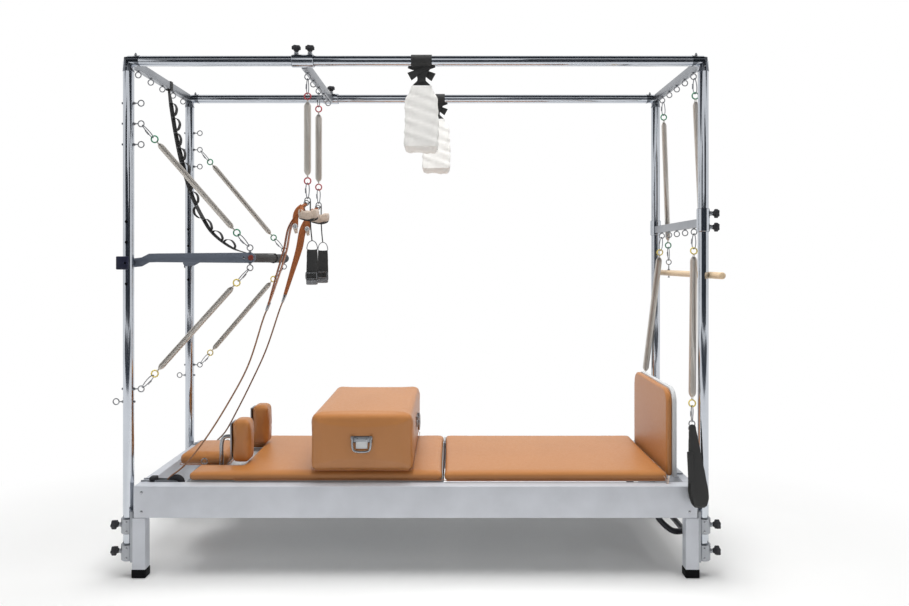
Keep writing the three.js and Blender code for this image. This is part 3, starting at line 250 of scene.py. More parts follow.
@dataclass(frozen=True)
class Metal(Finish):
    """Plated, brushed or drawn metal, with smudges and fine lines along one axis."""

    roughness: float
    lines: float = 0.02
    stretch: Triple = (1, 1, 1)
    metal: float = 1.0

    def build(self) -> bpy.types.Material:
        """Makes the material."""
        tree = Tree(self.name)
        smudge = tree.noise(9, 5)
        grain = tree.noise(900, 2, self.stretch)
        dark = tuple(int(c * 0.9) for c in self.colour)
        return tree.finish(
            Base_Color=tree.blended(smudge, self.colour, dark), Metallic=self.metal,
            Roughness=self.roughness + smudge * 0.1 + grain * self.lines,
            Normal=tree.bump(grain, self.lines))


@dataclass(frozen=True)
class Moulded(Finish):
    """Moulded plastic, rubber, paint or board with a pebbled skin and worn patches."""

    roughness: float
    grain: float = 1400
    depth: float = 0.12
    gloss: float = 0.5

    def build(self) -> bpy.types.Material:
        """Makes the material."""
        tree = Tree(self.name)
        patch, pebble = tree.noise(14, 6), tree.cells(self.grain)
        worn = tuple(min(255, int(c * 1.18 + 8)) for c in self.colour)
        return tree.finish(
            Base_Color=tree.blended(patch ** 2.0, self.colour, worn),
            Roughness=self.roughness + patch * 0.16 - 0.08, Specular_IOR_Level=self.gloss,
            Normal=tree.bump(pebble, self.depth))


@dataclass(frozen=True)
class Vinyl(Finish):
    """Upholstery vinyl: leather-like grain, soft mottling and a dull sheen."""

    shade: Colour

    def build(self) -> bpy.types.Material:
        """Makes the material."""
        tree = Tree(self.name)
        mottle, crease, grain = tree.noise(6, 4), tree.noise(60, 4), tree.cells(620)
        colour = tree.blended(mottle, self.colour, self.shade)
        relief = grain * 0.7 + crease * 0.9
        return tree.finish(
            Base_Color=colour, Roughness=0.4 + crease * 0.18 - grain * 0.1,
            Normal=tree.bump(relief, 0.35), Coat_Weight=0.3, Coat_Roughness=0.38)


@dataclass(frozen=True)
class Woven(Finish):
    """Webbing or twisted cord: threads that cross at a pitch along and across the piece."""

    light: Colour
    along: float
    across: float
    twist: float = 0.0
    depth: float = 0.5

    def build(self) -> bpy.types.Material:
        """Makes the material."""
        tree = Tree(self.name)
        length, width = tree.thread()
        warp = (length * (TURN * self.along) + width * (TURN * self.twist)).sine().size()
        weft = (width * (TURN * self.across)).sine().size()
        weave = warp * weft if self.across else warp
        fuzz = tree.noise(700, 3)
        return tree.finish(
            Base_Color=tree.blended(weave * 0.75 + fuzz * 0.2, self.colour, self.light),
            Roughness=0.72 + fuzz * 0.2, Specular_IOR_Level=0.02,
            Normal=tree.bump(weave + fuzz * 0.35, self.depth))


@dataclass(frozen=True)
class Fleece(Finish):
    """Curly pile with matted tufts."""

    shade: Colour

    def build(self) -> bpy.types.Material:
        """Makes the material."""
        tree = Tree(self.name)
        tuft, pile = tree.noise(120, 4), tree.cells(330)
        return tree.finish(
            Base_Color=tree.blended(pile * 0.7 + tuft * 0.3, self.colour, self.shade),
            Roughness=0.95, Sheen_Weight=0.6, Sheen_Roughness=0.6,
            Normal=tree.bump(tuft * 1.2 + pile, 2.6))


@dataclass(frozen=True)
class Timber(Finish):
    """Varnished beech with grain along the bar and short flecks."""

    shade: Colour

    def build(self) -> bpy.types.Material:
        """Makes the material."""
        tree = Tree(self.name)
        grain, fleck = tree.noise(260, 5, (1, 0.05, 1)), tree.noise(900, 2, (1, 0.12, 1))
        return tree.finish(
            Base_Color=tree.blended(grain * 0.8 + fleck * 0.35, self.colour, self.shade),
            Roughness=0.34 + fleck * 0.12, Coat_Weight=0.3, Coat_Roughness=0.2,
            Normal=tree.bump(fleck, 0.06))


class Look(Enum):
    """Each finish of the table, with the record's slot it belongs to."""

    CHROME = (Metal("chrome", (206, 211, 218), 0.05, 0.01), "chrome_tube")
    ELBOW = (Metal("elbow", (116, 121, 128), 0.14, 0.02), "chrome_tube")
    BRUSHED = (Metal("brushed_steel", (172, 175, 180), 0.3, 0.05, (1, 0.04, 1)), "steel_part")
    STEEL = (Metal("bright_steel", (178, 180, 184), 0.18, 0.02), "steel_part")
    SPRING = (Metal("spring_steel", (222, 216, 208), 0.3, 0.02), "steel_part")
    ARM = (Metal("arm_steel", (118, 126, 139), 0.4, 0.04, (0.05, 1, 1), 0.45), "steel_part")
    RAIL = (Metal("anodised_rail", (214, 217, 224), 0.45, 0.05, (0.03, 1, 1), 0.3), "bed_aluminium")
    BLACK = (Moulded("black_plastic", (6, 6, 7), 0.4, 1400, 0.1, 0.12), "black_plastic")
    RUBBER = (Moulded("black_rubber", (9, 9, 10), 0.6, 700, 0.12, 0.1), "black_plastic")
    FOAM = (Moulded("black_foam", (14, 14, 16), 0.8, 900, 0.6, 0.05), "black_foam")
    NAVY = (Moulded("navy_lever", (24, 27, 48), 0.4), "black_plastic")
    CAP = (Moulded("red_brown_cap", (112, 44, 34), 0.45), "black_plastic")
    RED = (Moulded("red_ring", (170, 62, 70), 0.34), "steel_part")
    YELLOW = (Moulded("yellow_ring", (212, 190, 96), 0.34), "steel_part")
    GREEN = (Moulded("green_ring", (52, 124, 92), 0.34), "steel_part")
    BLACK_TUBE = (Moulded("black_tube", (22, 22, 24), 0.3, 500, 0.04), "black_tube")
    PANEL = (Moulded("grey_panel", (136, 140, 145), 0.55, 900, 0.08, 0.25), "grey_panel")
    TAN = (Vinyl("tan_vinyl", (182, 122, 68), (172, 113, 60)), "tan_upholstery")
    # The seam vinyl is the pad's tan painted darker: painted shade along the low piped seams.
    SEAM = (Vinyl("tan_seam_painted_shade", (158, 98, 56), (142, 86, 48)), "tan_upholstery")
    WEBBING = (Woven("black_webbing", (3, 3, 4), (12, 12, 13), 420, 280), "black_webbing")
    VELCRO = (Woven("grey_velcro", (110, 111, 114), (154, 155, 157), 900, 900), "black_webbing")
    FLEECE = (Fleece("white_fleece", (220, 219, 216), (180, 180, 177)), "white_fleece")
    CREAM = (Fleece("cream_fleece", (222, 202, 184), (190, 168, 150)), "white_fleece")
    LEATHER = (Vinyl("tan_leather", (174, 100, 50), (138, 76, 38)), "strap_leather")
    ROPE = (Woven("twisted_rope", (120, 84, 64), (176, 138, 112), 150, 0, 137, 0.8), "rope_cloth")
    BEECH = (Timber("beech", (228, 204, 172), (206, 174, 138)), "beech")

    def material(self) -> bpy.types.Material:
        """The finish's material, made when it is first needed."""
        return bpy.data.materials.get(self.value[0].name) or self.value[0].build()

    def on(self, *pieces: Piece) -> list[Piece]:
        """Gives pieces this finish and returns them as a list."""
        for piece in pieces:
            piece.data.materials.clear()
            piece.data.materials.append(self.material())
        return list(pieces)


# The bench: modelling steps in millimetres

class Plane(Enum):
    """The plane that an outline is drawn in, as the axes of its two coordinates and its depth."""

    TOP = Matrix(((1, 0, 0), (0, 1, 0), (0, 0, 1)))
    SIDE = Matrix(((1, 0, 0), (0, 0, -1), (0, 1, 0)))
    END = Matrix(((0, 0, 1), (1, 0, 0), (0, 1, 0)))


class Bench:
    """Modelling steps; each gives one mesh object at the origin, its sizes given in millimetres."""

    @staticmethod
    def take(*pieces: Piece) -> Piece:
        """Selects only these pieces and makes the first active."""
        bpy.ops.object.select_all(action="DESELECT")
        for piece in pieces:
            piece.select_set(True)
        bpy.context.view_layer.objects.active = pieces[0]
        return pieces[0]

    @staticmethod
    def settle() -> Piece:
        """Puts the new piece's place and turn into its mesh."""
        piece = Bench.take(bpy.context.object)
        bpy.ops.object.transform_apply(location=True, rotation=True, scale=True)
        return piece

    @staticmethod
    def modified(piece: Piece, kind: str, **settings: object) -> Piece:
        """Adds a modifier with these settings and applies it.

        Args:
            piece: The piece to change.
            kind: The modifier's type.
            settings: The modifier's own properties.

        Returns:
            The same piece.
        """
        Bench.take(piece)
        modifier = piece.modifiers.new(kind.title(), kind)
        for key, value in settings.items():
            setattr(modifier, key, value)
        bpy.ops.object.modifier_apply(modifier=modifier.name)
        return piece

    @staticmethod
    def eased(piece: Piece, width: float, segments: int = 2, angle: float = 35) -> Piece:
        """Rounds the edges of a piece and shades it smooth.

        Args:
            piece: The piece to change.
            width: Width of the rounding.
            segments: Steps across it.
            angle: Edges turning more than this many degrees are rounded.

        Returns:
            The same piece.
        """
        if width > 0:
            Bench.modified(piece, "BEVEL", width=width * MM, segments=segments,
                           limit_method="ANGLE", angle_limit=math.radians(angle))
        Bench.take(piece)
        bpy.ops.object.shade_smooth_by_angle(angle=math.radians(angle))
        return piece

    @staticmethod
    def block(low: Point, high: Point, bevel: float = 1.5) -> Piece:
        """A bar or plate between two corners, with eased edges.

        Args:
            low, high: Two opposite corners.
            bevel: Width of the eased edge.

        Returns:
            The piece.
        """
        low, high = Vector(low), Vector(high)
        bpy.ops.mesh.primitive_cube_add(
            size=1, location=(low + high) / 2 * MM, scale=[abs(v) * MM for v in high - low])
        return Bench.eased(Bench.settle(), bevel, 3)

    @staticmethod
    def rod(start: Point, end: Point, diameter: float, tip: float = 0, bevel: float = 0.8,
            sides: int = 36) -> Piece:
        """A round or many-sided rod between two points.

        Args:
            start, end: The middle of each end.
            diameter: Across the start, and across the end too unless tip is given.
            tip: Across the end.
            bevel: Width of the eased rims.
            sides: Number of sides, six for a nut.

        Returns:
            The piece.
        """
        start, end = Vector(start), Vector(end)
        reach = end - start
        bpy.ops.mesh.primitive_cone_add(
            vertices=sides, radius1=diameter / 2 * MM, radius2=(tip or diameter) / 2 * MM,
            depth=reach.length * MM, location=(start + end) / 2 * MM,
            rotation=reach.to_track_quat("Z", "Y").to_euler())
        return Bench.eased(Bench.settle(), bevel)

    @staticmethod
    def ring(centre: Point, outer: float, wire: float, axis: Point = (0, 1, 0), steps: int = 36) -> Piece:
        """A ring of round wire.

        Args:
            centre: Its middle.
            outer: Diameter over the wire.
            wire: Diameter of the wire.
            axis: The direction that it is threaded along.
            steps: Steps round the ring.

        Returns:
            The piece.
        """
        bpy.ops.mesh.primitive_torus_add(
            major_radius=(outer - wire) / 2 * MM, minor_radius=wire / 2 * MM,
            major_segments=steps, minor_segments=10, location=Vector(centre) * MM,
            rotation=Vector(axis).to_track_quat("Z", "Y").to_euler())
        return Bench.eased(Bench.settle(), 0, angle=60)

    @staticmethod
    def linked(name: str, data: bpy.types.ID) -> Piece:
        """A new object with this data, placed in the scene."""
        piece = bpy.data.objects.new(name, data)
        bpy.context.collection.objects.link(piece)
        return piece

    @staticmethod
    def meshed(name: str, points: Iterable[Point], faces: Iterable[Sequence[int]],
               edges: Iterable[Sequence[int]] = ()) -> Piece:
        """A new mesh object from points in millimetres, faces and loose edges."""
        mesh = bpy.data.meshes.new(name)
        mesh.from_pydata([Vector(p) * MM for p in points], list(edges), list(faces))
        return Bench.linked(name, mesh)

    @staticmethod
    def outward(piece: Piece, merge: bool = True) -> Piece:
        """Turns all faces outwards, after merging doubles where that is asked."""
        shell = bmesh.new()
        shell.from_mesh(piece.data)
        if merge:
            bmesh.ops.remove_doubles(shell, verts=shell.verts, dist=MM / 100)
        bmesh.ops.recalc_face_normals(shell, faces=shell.faces)
        shell.to_mesh(piece.data)
        shell.free()
        return piece

    @staticmethod
    def plate(outline: Sequence[Sequence[float]], depth: float, plane: Plane, centre: Point = (0, 0, 0),
              bevel: float = 1.0, segments: int = 2) -> Piece:
        """An outline given depth on both sides of its plane.

        Args:
            outline: Its corners in order.
            depth: Thickness.
            plane: The plane that it is drawn in.
            centre: Where the outline's own origin goes.
            bevel: Width of the eased edges.
            segments: Steps across them.

        Returns:
            The piece.
        """
        base = [plane.value @ Vector((a, b, -depth / 2)) + Vector(centre) for a, b in outline]
        piece = Bench.take(Bench.meshed("plate", base, [range(len(base))]))
        bpy.ops.object.mode_set(mode="EDIT")
        bpy.ops.mesh.select_all(action="SELECT")
        bpy.ops.mesh.extrude_region_move(
            TRANSFORM_OT_translate={"value": plane.value @ Vector((0, 0, depth * MM))})
        bpy.ops.object.mode_set(mode="OBJECT")
        return Bench.eased(Bench.outward(piece), bevel, segments)

    @staticmethod
    def turned(profile: Sequence[Sequence[float]], start: Point, axis: Point, steps: int = 48) -> Piece:
        """A closed profile turned about an axis, as on a lathe.

        Args:
            profile: Radius and height of each corner, in order round the wall.
            start: Where height zero lies on the axis.
            axis: The axis, in the direction of rising height.
            steps: Steps round the axis.

        Returns:
            The piece.
        """
        count = len(profile)
        piece = Bench.take(Bench.meshed("turned", [(r, 0, h) for r, h in profile], [],
                                        [(i, (i + 1) % count) for i in range(count)]))
        bpy.ops.object.mode_set(mode="EDIT")
        bpy.ops.mesh.select_all(action="SELECT")
        bpy.ops.mesh.spin(steps=steps, angle=TURN, center=(0, 0, 0), axis=(0, 0, 1))
        bpy.ops.object.mode_set(mode="OBJECT")
        piece.location = Vector(start) * MM
        piece.rotation_euler = Vector(axis).to_track_quat("Z", "Y").to_euler()
        return Bench.eased(Bench.outward(Bench.settle()), 0, angle=32)

    @staticmethod
    def collar(start: Point, end: Point, outer: float, inner: float, ease: float = 1.2) -> Piece:
        """A sleeve round a tube, with eased rims.

        Args:
            start, end: The middle of each rim.
            outer, inner: Its two diameters.
            ease: Width of the eased rims.

        Returns:
            The piece.
        """
        reach = Vector(end) - Vector(start)
        (r, b), h = (outer / 2, inner / 2), reach.length
        return Bench.turned([(b, 0), (r - ease, 0), (r, ease), (r, h - ease), (r - ease, h), (b, h)],
                            start, reach)

    @staticmethod
    def pipe(points: Sequence[Point], diameter: float, sides: int = 10) -> Piece:
        """A tube through points, mitred where they turn sharply.

        Args:
            points: Its middle line.
            diameter: Outside diameter.
            sides: Steps in each quarter of its round.

        Returns:
            The piece.
        """
        data = bpy.data.curves.new("pipe", "CURVE")
        data.dimensions = "3D"
        line = data.splines.new("POLY")
        line.points.add(len(points) - 1)
        for target, point in zip(line.points, points):
            target.co = (*(Vector(point) * MM), 1)
        data.bevel_depth, data.bevel_resolution, data.use_fill_caps = diameter / 2 * MM, sides, True
        Bench.take(Bench.linked("pipe", data))
        bpy.ops.object.convert(target="MESH")
        return Bench.eased(Bench.outward(bpy.context.object), 0, angle=40)

    @staticmethod
    def curve(points: Iterable[Point], count: int, looped: bool = False,
              origin: Point = (0, 0, 0), steps: int = 24) -> list[Vector]:
        """Even points on a smooth line through the given ones.

        Args:
            points: The points that it passes.
            count: How many points to give.
            looped: Whether the line closes on itself.
            origin: Where the points' own origin lies.
            steps: Fine steps between two given points.

        Returns:
            The points.
        """
        held = [Vector(origin) + Vector(p) for p in points]
        if looped:
            held = [held[-1], *held, held[0], held[1]]
        else:
            held = [held[0] * 2 - held[1], *held, held[-1] * 2 - held[-2]]
        fine: list[Vector] = []
        for a, b, c, d in zip(held, held[1:], held[2:], held[3:]):
            for step in range(steps):
                t = step / steps
                fine.append(((b * 2) + (c - a) * t + (a * 2 - b * 5 + c * 4 - d) * t * t
                             + (b * 3 - a - c * 3 + d) * t ** 3) / 2)
        fine.append(held[-2].copy())
        reach = [0.0]
        for a, b in zip(fine, fine[1:]):
            reach.append(reach[-1] + (b - a).length)
        spots, result, k = count - (0 if looped else 1), [], 0
        for i in range(count):
            wanted = reach[-1] * i / spots
            while k < len(fine) - 2 and reach[k + 1] < wanted:
                k += 1
            span = reach[k + 1] - reach[k]
            result.append(fine[k].lerp(fine[k + 1], (wanted - reach[k]) / span if span else 0))
        return result

    @staticmethod
    def swept(route: Sequence[Vector], section: Sequence[Sequence[float]], side: object = None,
              scales: object = None, looped: bool = False) -> Piece:
        """A section carried along a route, with a map in metres along and round it.

        Args:
            route: The middle line.
            section: The section's corners, first across and then through the piece.
            side: The direction of across: one vector, one for each point, or None to keep it untwisted.
            scales: For each point, how the section is scaled across and through.
            looped: Whether the piece closes on itself.

        Returns:
            The piece.
        """
        count, round_ = len(route), len(section)
        last = Z if side is None else None
        points: list[Vector] = []
        for i, point in enumerate(route):
            before = route[i - 1] if i or looped else point
            after = route[(i + 1) % count] if i + 1 < count or looped else point
            forward = (after - before).normalized()
            wish = last if side is None else (side[i] if isinstance(side, list) else side)
            if side is None and i == 0 and abs(forward.dot(wish)) > 0.9:
                wish = Y
            across = (wish - forward * wish.dot(forward)).normalized()
            last = across
            through = forward.cross(across)
            wide, deep = scales[i] if scales else (1, 1)
            points += [point + across * (x * wide) + through * (y * deep) for x, y in section]
        rows = count if looped else count - 1
        faces = [(i * round_ + j, i * round_ + (j + 1) % round_,
                  (i + 1) % count * round_ + (j + 1) % round_, (i + 1) % count * round_ + j)
                 for i in range(rows) for j in range(round_)]
        if not looped:
            faces += [range(round_ - 1, -1, -1), range((count - 1) * round_, count * round_)]
        piece = Bench.meshed("swept", points, faces)
        length, girth = [0.0], [0.0]
        for i in range(count):
            length.append(length[-1] + (route[(i + 1) % count] - route[i]).length * MM)
        for j in range(round_):
            (x0, y0), (x1, y1) = section[j], section[(j + 1) % round_]
            girth.append(girth[-1] + math.hypot(x1 - x0, y1 - y0) * MM)
        layer = piece.data.uv_layers.new(name="UVMap")
        for face in range(rows * round_):
            i, j = divmod(face, round_)
            corners = ((i, j), (i, j + 1), (i + 1, j + 1), (i + 1, j))
            for loop, (a, b) in zip(piece.data.polygons[face].loop_indices, corners):
                layer.data[loop].uv = (length[a], girth[b])
        return Bench.eased(Bench.outward(piece, merge=False), 0, angle=48)

    @staticmethod
    def length(route: Sequence[Vector]) -> float:
        """How long a line of points is, in metres."""
        return sum((b - a).length for a, b in zip(route, route[1:])) * MM

    @staticmethod
    def flat(width: float, thickness: float) -> list[Pair]:
        """The section of a strap with rounded edges and a crossing mesh line every few millimetres."""
        w, t = width / 2, thickness / 2
        edge = min(t, 1.2)
        top = [(-w + edge + (w - edge) * 2 * k / 4, t) for k in range(5)]
        return [(-w, -t * 0.4), (-w, t * 0.4), *top, (w, t * 0.4), (w, -t * 0.4),
                *((x, -t) for x, _ in reversed(top))]

    @staticmethod
    def round(diameter: float, sides: int) -> list[Pair]:
        """A round section."""
        return [(math.cos(TURN * k / sides) * diameter / 2, math.sin(TURN * k / sides) * diameter / 2)
                for k in range(sides)]

    @staticmethod
    def padding(width: float, thickness: float, sides: int = 20) -> list[Pair]:
        """A plump section, between an oval and a box."""
        def bulge(value: float) -> float:
            """Squares a sine up."""
            return math.copysign(abs(value) ** 0.55, value)
        return [(bulge(math.cos(TURN * k / sides)) * width / 2,
                 bulge(math.sin(TURN * k / sides)) * thickness / 2) for k in range(sides)]

    @staticmethod
    def moved(pieces: Sequence[Piece], matrix: Matrix) -> list[Piece]:
        """Moves pieces by a matrix whose lengths are in millimetres and returns them."""
        scaled = matrix.copy()
        scaled.translation = matrix.translation * MM
        for piece in pieces:
            piece.data.transform(scaled)
        return list(pieces)

    @staticmethod
    def copied(pieces: Sequence[Piece], matrix: Matrix) -> list[Piece]:
        """Copies of pieces with meshes of their own, moved as above."""
        twins = [Bench.linked(piece.name, piece.data.copy()) for piece in pieces]
        return Bench.moved(twins, matrix)

    @staticmethod
    def cut(piece: Piece, *tools: Piece) -> Piece:
        """Takes the tools' shapes out of a piece."""
        for tool in tools:
            Bench.modified(piece, "BOOLEAN", operation="DIFFERENCE", solver="EXACT", object=tool)
            bpy.data.objects.remove(tool, do_unlink=True)
        return piece

    @staticmethod
    def joined(name: str, pieces: Sequence[Piece]) -> Piece:
        """Makes one piece of several, each keeping its own finish."""
        Bench.take(*pieces)
        bpy.ops.object.join()
        piece = bpy.context.object
        piece.name = piece.data.name = name
        return piece


def fitted(name: str, pieces: Sequence[Piece], body: str, look: Look, *nodes: str) -> Piece:
    """Joins dressed pieces, has them ride on a body and stand for CAD nodes.

    Args:
        name: The finished piece's name.
        pieces: Its parts, already dressed.
        body: The body that it rides on, or nothing.
        look: Not used.
        nodes: The CAD nodes that it stands for.

    Returns:
        The finished piece.
    """
    piece = Bench.joined(name, pieces)
    if body:
        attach(piece, body)
    if nodes:
        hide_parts(*nodes)
    log.info("%s on %s stands for %s", name, body or "two bodies", ", ".join(nodes) or "nothing")
    return piece


# Small hardware

@dataclass(frozen=True)
class EyeBolt:
    """A welded ring on a threaded stem, with its washer and nuts."""

    outer: float = 30
    wire: float = 5
    stem: float = 5.5
    nut: float = 11
    nut_height: float = 5

    def build(self, centre: Point, seat: Point, tail: Point | None = None) -> list[Piece]:
        """Makes the bolt.

        Args:
            centre: The middle of the ring.
            seat: Where the stem enters what carries it.
            tail: Where a nut closes it on the far side, if it shows.

        Returns:
            The dressed parts.
        """
        centre, seat = Vector(centre), Vector(seat)
        inward = (seat - centre).normalized()
        end = Vector(tail) if tail is not None else seat + inward * self.nut_height
        parts = [
            Bench.ring(centre, self.outer, self.wire),
            Bench.rod(centre + inward * (self.outer - self.wire) / 2, end, self.stem, bevel=0.3, sides=16),
            Bench.rod(seat - inward * 1.6, seat + inward * 0.4, self.nut + 4, sides=24, bevel=0.4),
            Bench.rod(seat - inward * (1.6 + self.nut_height), seat - inward * 1.6, self.nut, sides=6,
                      bevel=0.5),
        ]
        if tail is not None:
            parts.append(Bench.rod(end - inward * self.nut_height, end, self.nut, sides=6, bevel=0.8))
        return Look.STEEL.on(*parts)


@dataclass(frozen=True)
class StarKnob:
    """A five-lobed plastic hand knob on a threaded stem."""

    diameter: float = 40
    thickness: float = 15
    lobes: int = 5
    dip: float = 0.11
    stem: float = 8
    corners: int = 70

    def build(self, foot: Point, axis: Point, length: float) -> list[Piece]:
        """Makes the knob.

        Args:
            foot: Where the stem starts.
            axis: The direction that it points.
            length: From the foot to the underside of the head.

        Returns:
            The dressed parts.
        """
        foot, axis = Vector(foot), Vector(axis).normalized()
        outline = []
        for x, y in Bench.round(self.diameter, self.corners):
            reach = 1 - self.dip + self.dip * math.cos(math.atan2(y, x) * self.lobes)
            outline.append((reach * x, reach * y))
        head = Bench.plate(outline, self.thickness, Plane.TOP, bevel=3, segments=4)
        matrix = axis.to_track_quat("Z", "Y").to_matrix().to_4x4()
        matrix.translation = foot + axis * (length + self.thickness / 2)
        Bench.moved([head], matrix)
        top = foot + axis * (length + self.thickness)
        skirt = Bench.rod(foot + axis * (length - 9), foot + axis * (length + 2), 19, 27, bevel=1.5)
        hub = Bench.rod(top - axis * 0.6, top - axis * 0.1, 15, 13, bevel=0.1)
        stem = Bench.rod(foot, foot + axis * length, self.stem, bevel=0.4, sides=16)
        return Look.BLACK.on(head, skirt, hub) + Look.STEEL.on(stem)


@dataclass(frozen=True)
class Spring:
    """A close-wound spring with tapered ends, coloured rings and pear-shaped snap hooks."""

    start: Vector
    end: Vector
    diameter: float
    ring: Look
    wire: float = 3.4
    ring_outer: float = 34
    ring_wire: float = 6
    ring_centre: float = 85
    neck: float = 112
    shoulder: float = 130
    hook_wire: float = 4.4
    taper: float = 0.42
    steps: int = 12

    def frame(self) -> Matrix:
        """The spring's own axes in the table: length along Z, Y near the table's Y."""
        z = (self.end - self.start).normalized()
        x = Y.cross(z).normalized()
        matrix = Matrix((x, z.cross(x), z)).transposed().to_4x4()
        matrix.translation = self.start
        return matrix

    def coil(self, length: float) -> Piece:
        """The wound wire, tapered at both ends."""
        steps = self.steps
        turns = int((length - 2 * self.neck) / (self.wire * 1.06))
        radius = (self.diameter - self.wire) / 2
        route, side = [], []
        for i in range(turns * steps + 1):
            turn = TURN * i / steps
            high = self.neck + (length - 2 * self.neck) * i / (turns * steps)
            near = min(high, length - high) - self.neck
            share = min(near / (self.shoulder - self.neck), 1)
            reach = radius * (self.taper + (1 - self.taper) * math.sin(share * math.pi / 2))
            out = Vector((math.cos(turn), math.sin(turn), 0))
            route.append(out * reach + Vector((0, 0, high)))
            side.append(out)
        return Bench.swept(route, Bench.round(self.wire, 6), side)

    def hook(self) -> list[Piece]:
        """One end's snap hook and coloured ring."""
        low, high = 7.6, 76.2
        aside = Vector((1, 1, 0)).normalized()
        route = []
        for turn in (TURN * k / 36 for k in range(36)):
            share = (1 - math.cos(turn)) / 2
            route.append(Z * (low + (high - low) * share) + aside * (math.sin(turn) * (6.4 + 4.2 * share)))
        body = Bench.swept(route, Bench.round(self.hook_wire, 10), looped=True)
        gate = Bench.rod(aside * 8.8 + Vector((0, 0, 30)), aside * 10.2 + Vector((0, 0, 52)), 7.4)
        band = Bench.ring((0, 0, self.ring_centre), self.ring_outer, self.ring_wire)
        loop = Bench.ring((0, 0, self.neck - 5), 20, self.wire, (1, 0, 0))
        return Look.STEEL.on(body, gate) + self.ring.on(band) + Look.SPRING.on(loop)

    def build(self, name: str, body: str) -> Piece:
        """Makes the whole spring.

        Args:
            name: The CAD node that it stands for.
            body: The body that it rides on, or nothing.

        Returns:
            The finished piece.
        """
        length = (self.end - self.start).length
        parts = Look.SPRING.on(self.coil(length)) + self.hook()
        far = Matrix.Translation((0, 0, length)) @ Matrix.Rotation(math.pi, 4, "X")
        parts += Bench.copied(parts[1:], far)
        return fitted(f"{name}_wound", Bench.moved(parts, self.frame()), body, Look.SPRING, name)


# The canopy

@dataclass(frozen=True)
class Canopy:
    """Posts, top rails with mitred sleeves, end crossbars and all their eyes."""

    half_length: float = POST_X
    half_width: float = POST_Y
    tube: float = 44
    rail_z: float = RAIL_Z
    post_foot: float = 65
    sleeve: float = 47
    sleeve_along: float = 48
    sleeve_low: float = 2133
    inward_eyes: tuple[float, ...] = (1999, 1912, 1824, 788)
    outward_eye: float = 734
    eye_reach: float = 53
    pin_holes: tuple[float, ...] = (1496, 1409, 1234)
    pin: float = 13
    bar: Pair = (26, 36)
    bar_length: float = 629
    head_pitch: float = 125
    foot_pitch: float = 112
    eye_drop: float = 17
    bolt_inset: float = 30

    def posts(self) -> None:
        """Four posts, with pin holes and eyes on the two at the head."""
        for end, ex in ENDS:
            for side, sy in SIDES:
                x, y = ex * self.half_length, sy * self.half_width
                tube = Bench.rod((x, y, self.post_foot), (x, y, self.rail_z - 4), self.tube, sides=64)
                parts = []
                if ex < 0:
                    for z in self.pin_holes:
                        Bench.cut(tube, Bench.rod((x, y - 40, z), (x, y + 40, z), self.pin, bevel=0))
                        parts += Look.RUBBER.on(Bench.rod((x, y - 18, z), (x, y + 18, z), self.pin + 1))
                    for z in self.inward_eyes:
                        parts += self.post_eye(x, y, z, 1)
                    parts += self.post_eye(x, y, self.outward_eye, -1)
                    Bench.eased(tube, 0, angle=30)
                name = f"post_{end}_{side}"
                fitted(f"{name}_tube", Look.CHROME.on(tube) + parts, "frame", Look.CHROME, name)

    def post_eye(self, x: float, y: float, z: float, way: int) -> list[Piece]:
        """One eye through a post, its ring on the side that way points to."""
        return EyeBolt().build((x + way * self.eye_reach, y, z), (x + way * self.tube / 2, y, z),
                               (x - way * (self.tube / 2 + 6), y, z))

    def rails(self) -> None:
        """Two top rails with a mitred sleeve and a small bolt at each end."""
        for side, sy in SIDES:
            y, x = sy * self.half_width, self.half_length
            parts = Look.CHROME.on(Bench.rod((-x, y, self.rail_z), (x, y, self.rail_z), self.tube,
                                             sides=64))
            for _, ex in ENDS:
                inner = ex * (x - self.sleeve_along)
                elbow = Bench.pipe([(inner, y, self.rail_z), (ex * x, y, self.rail_z),
                                    (ex * x, y, self.sleeve_low)], self.sleeve, 14)
                bolt_x, top = ex * (x - self.bolt_inset), self.rail_z + self.tube / 2
                low = self.sleeve_low + 16
                parts += Look.ELBOW.on(elbow)
                parts += Look.STEEL.on(
                    Bench.rod((bolt_x, y, top), (bolt_x, y, top + 6.5), 12, sides=24),
                    Bench.rod((bolt_x, y, top + 6), (bolt_x, y, top + 12), 9, 7.5, sides=6),
                    Bench.rod((ex * x, y - 26, low), (ex * x, y + 26, low), 7, sides=12))
            fitted(f"top_rail_{side}_tube", parts, "frame", Look.CHROME, f"top_rail_{side}")

    def crossbars(self) -> None:
        """The silver bar at each end with five eyes under it."""
        for (end, ex), pitch in zip(ENDS, (self.head_pitch, self.foot_pitch)):
            fitted(f"{end}_crossbar_bar",
                   self.eye_bar(ex * self.half_length, self.rail_z, self.bar_length, pitch),
                   "frame", Look.BRUSHED, f"{end}_crossbar")

    def eye_bar(self, x: float, z: float, length: float, pitch: float) -> list[Piece]:
        """A square bar across the table with five eyes under it.

        Args:
            x, z: Its middle.
            length: How long it is.
            pitch: Distance between eyes.

        Returns:
            The dressed parts.
        """
        w, h, half = self.bar[0] / 2, self.bar[1] / 2, length / 2
        parts = Look.BRUSHED.on(Bench.block((x - w, -half, z - h), (x + w, half, z + h), 2.5))
        for k in range(-2, 3):
            y = k * pitch
            parts += EyeBolt().build((x, y, z - h - self.eye_drop), (x, y, z - h))
        return parts

    def build(self) -> None:
        """Makes the canopy."""
        self.posts()
        self.rails()
        self.crossbars()


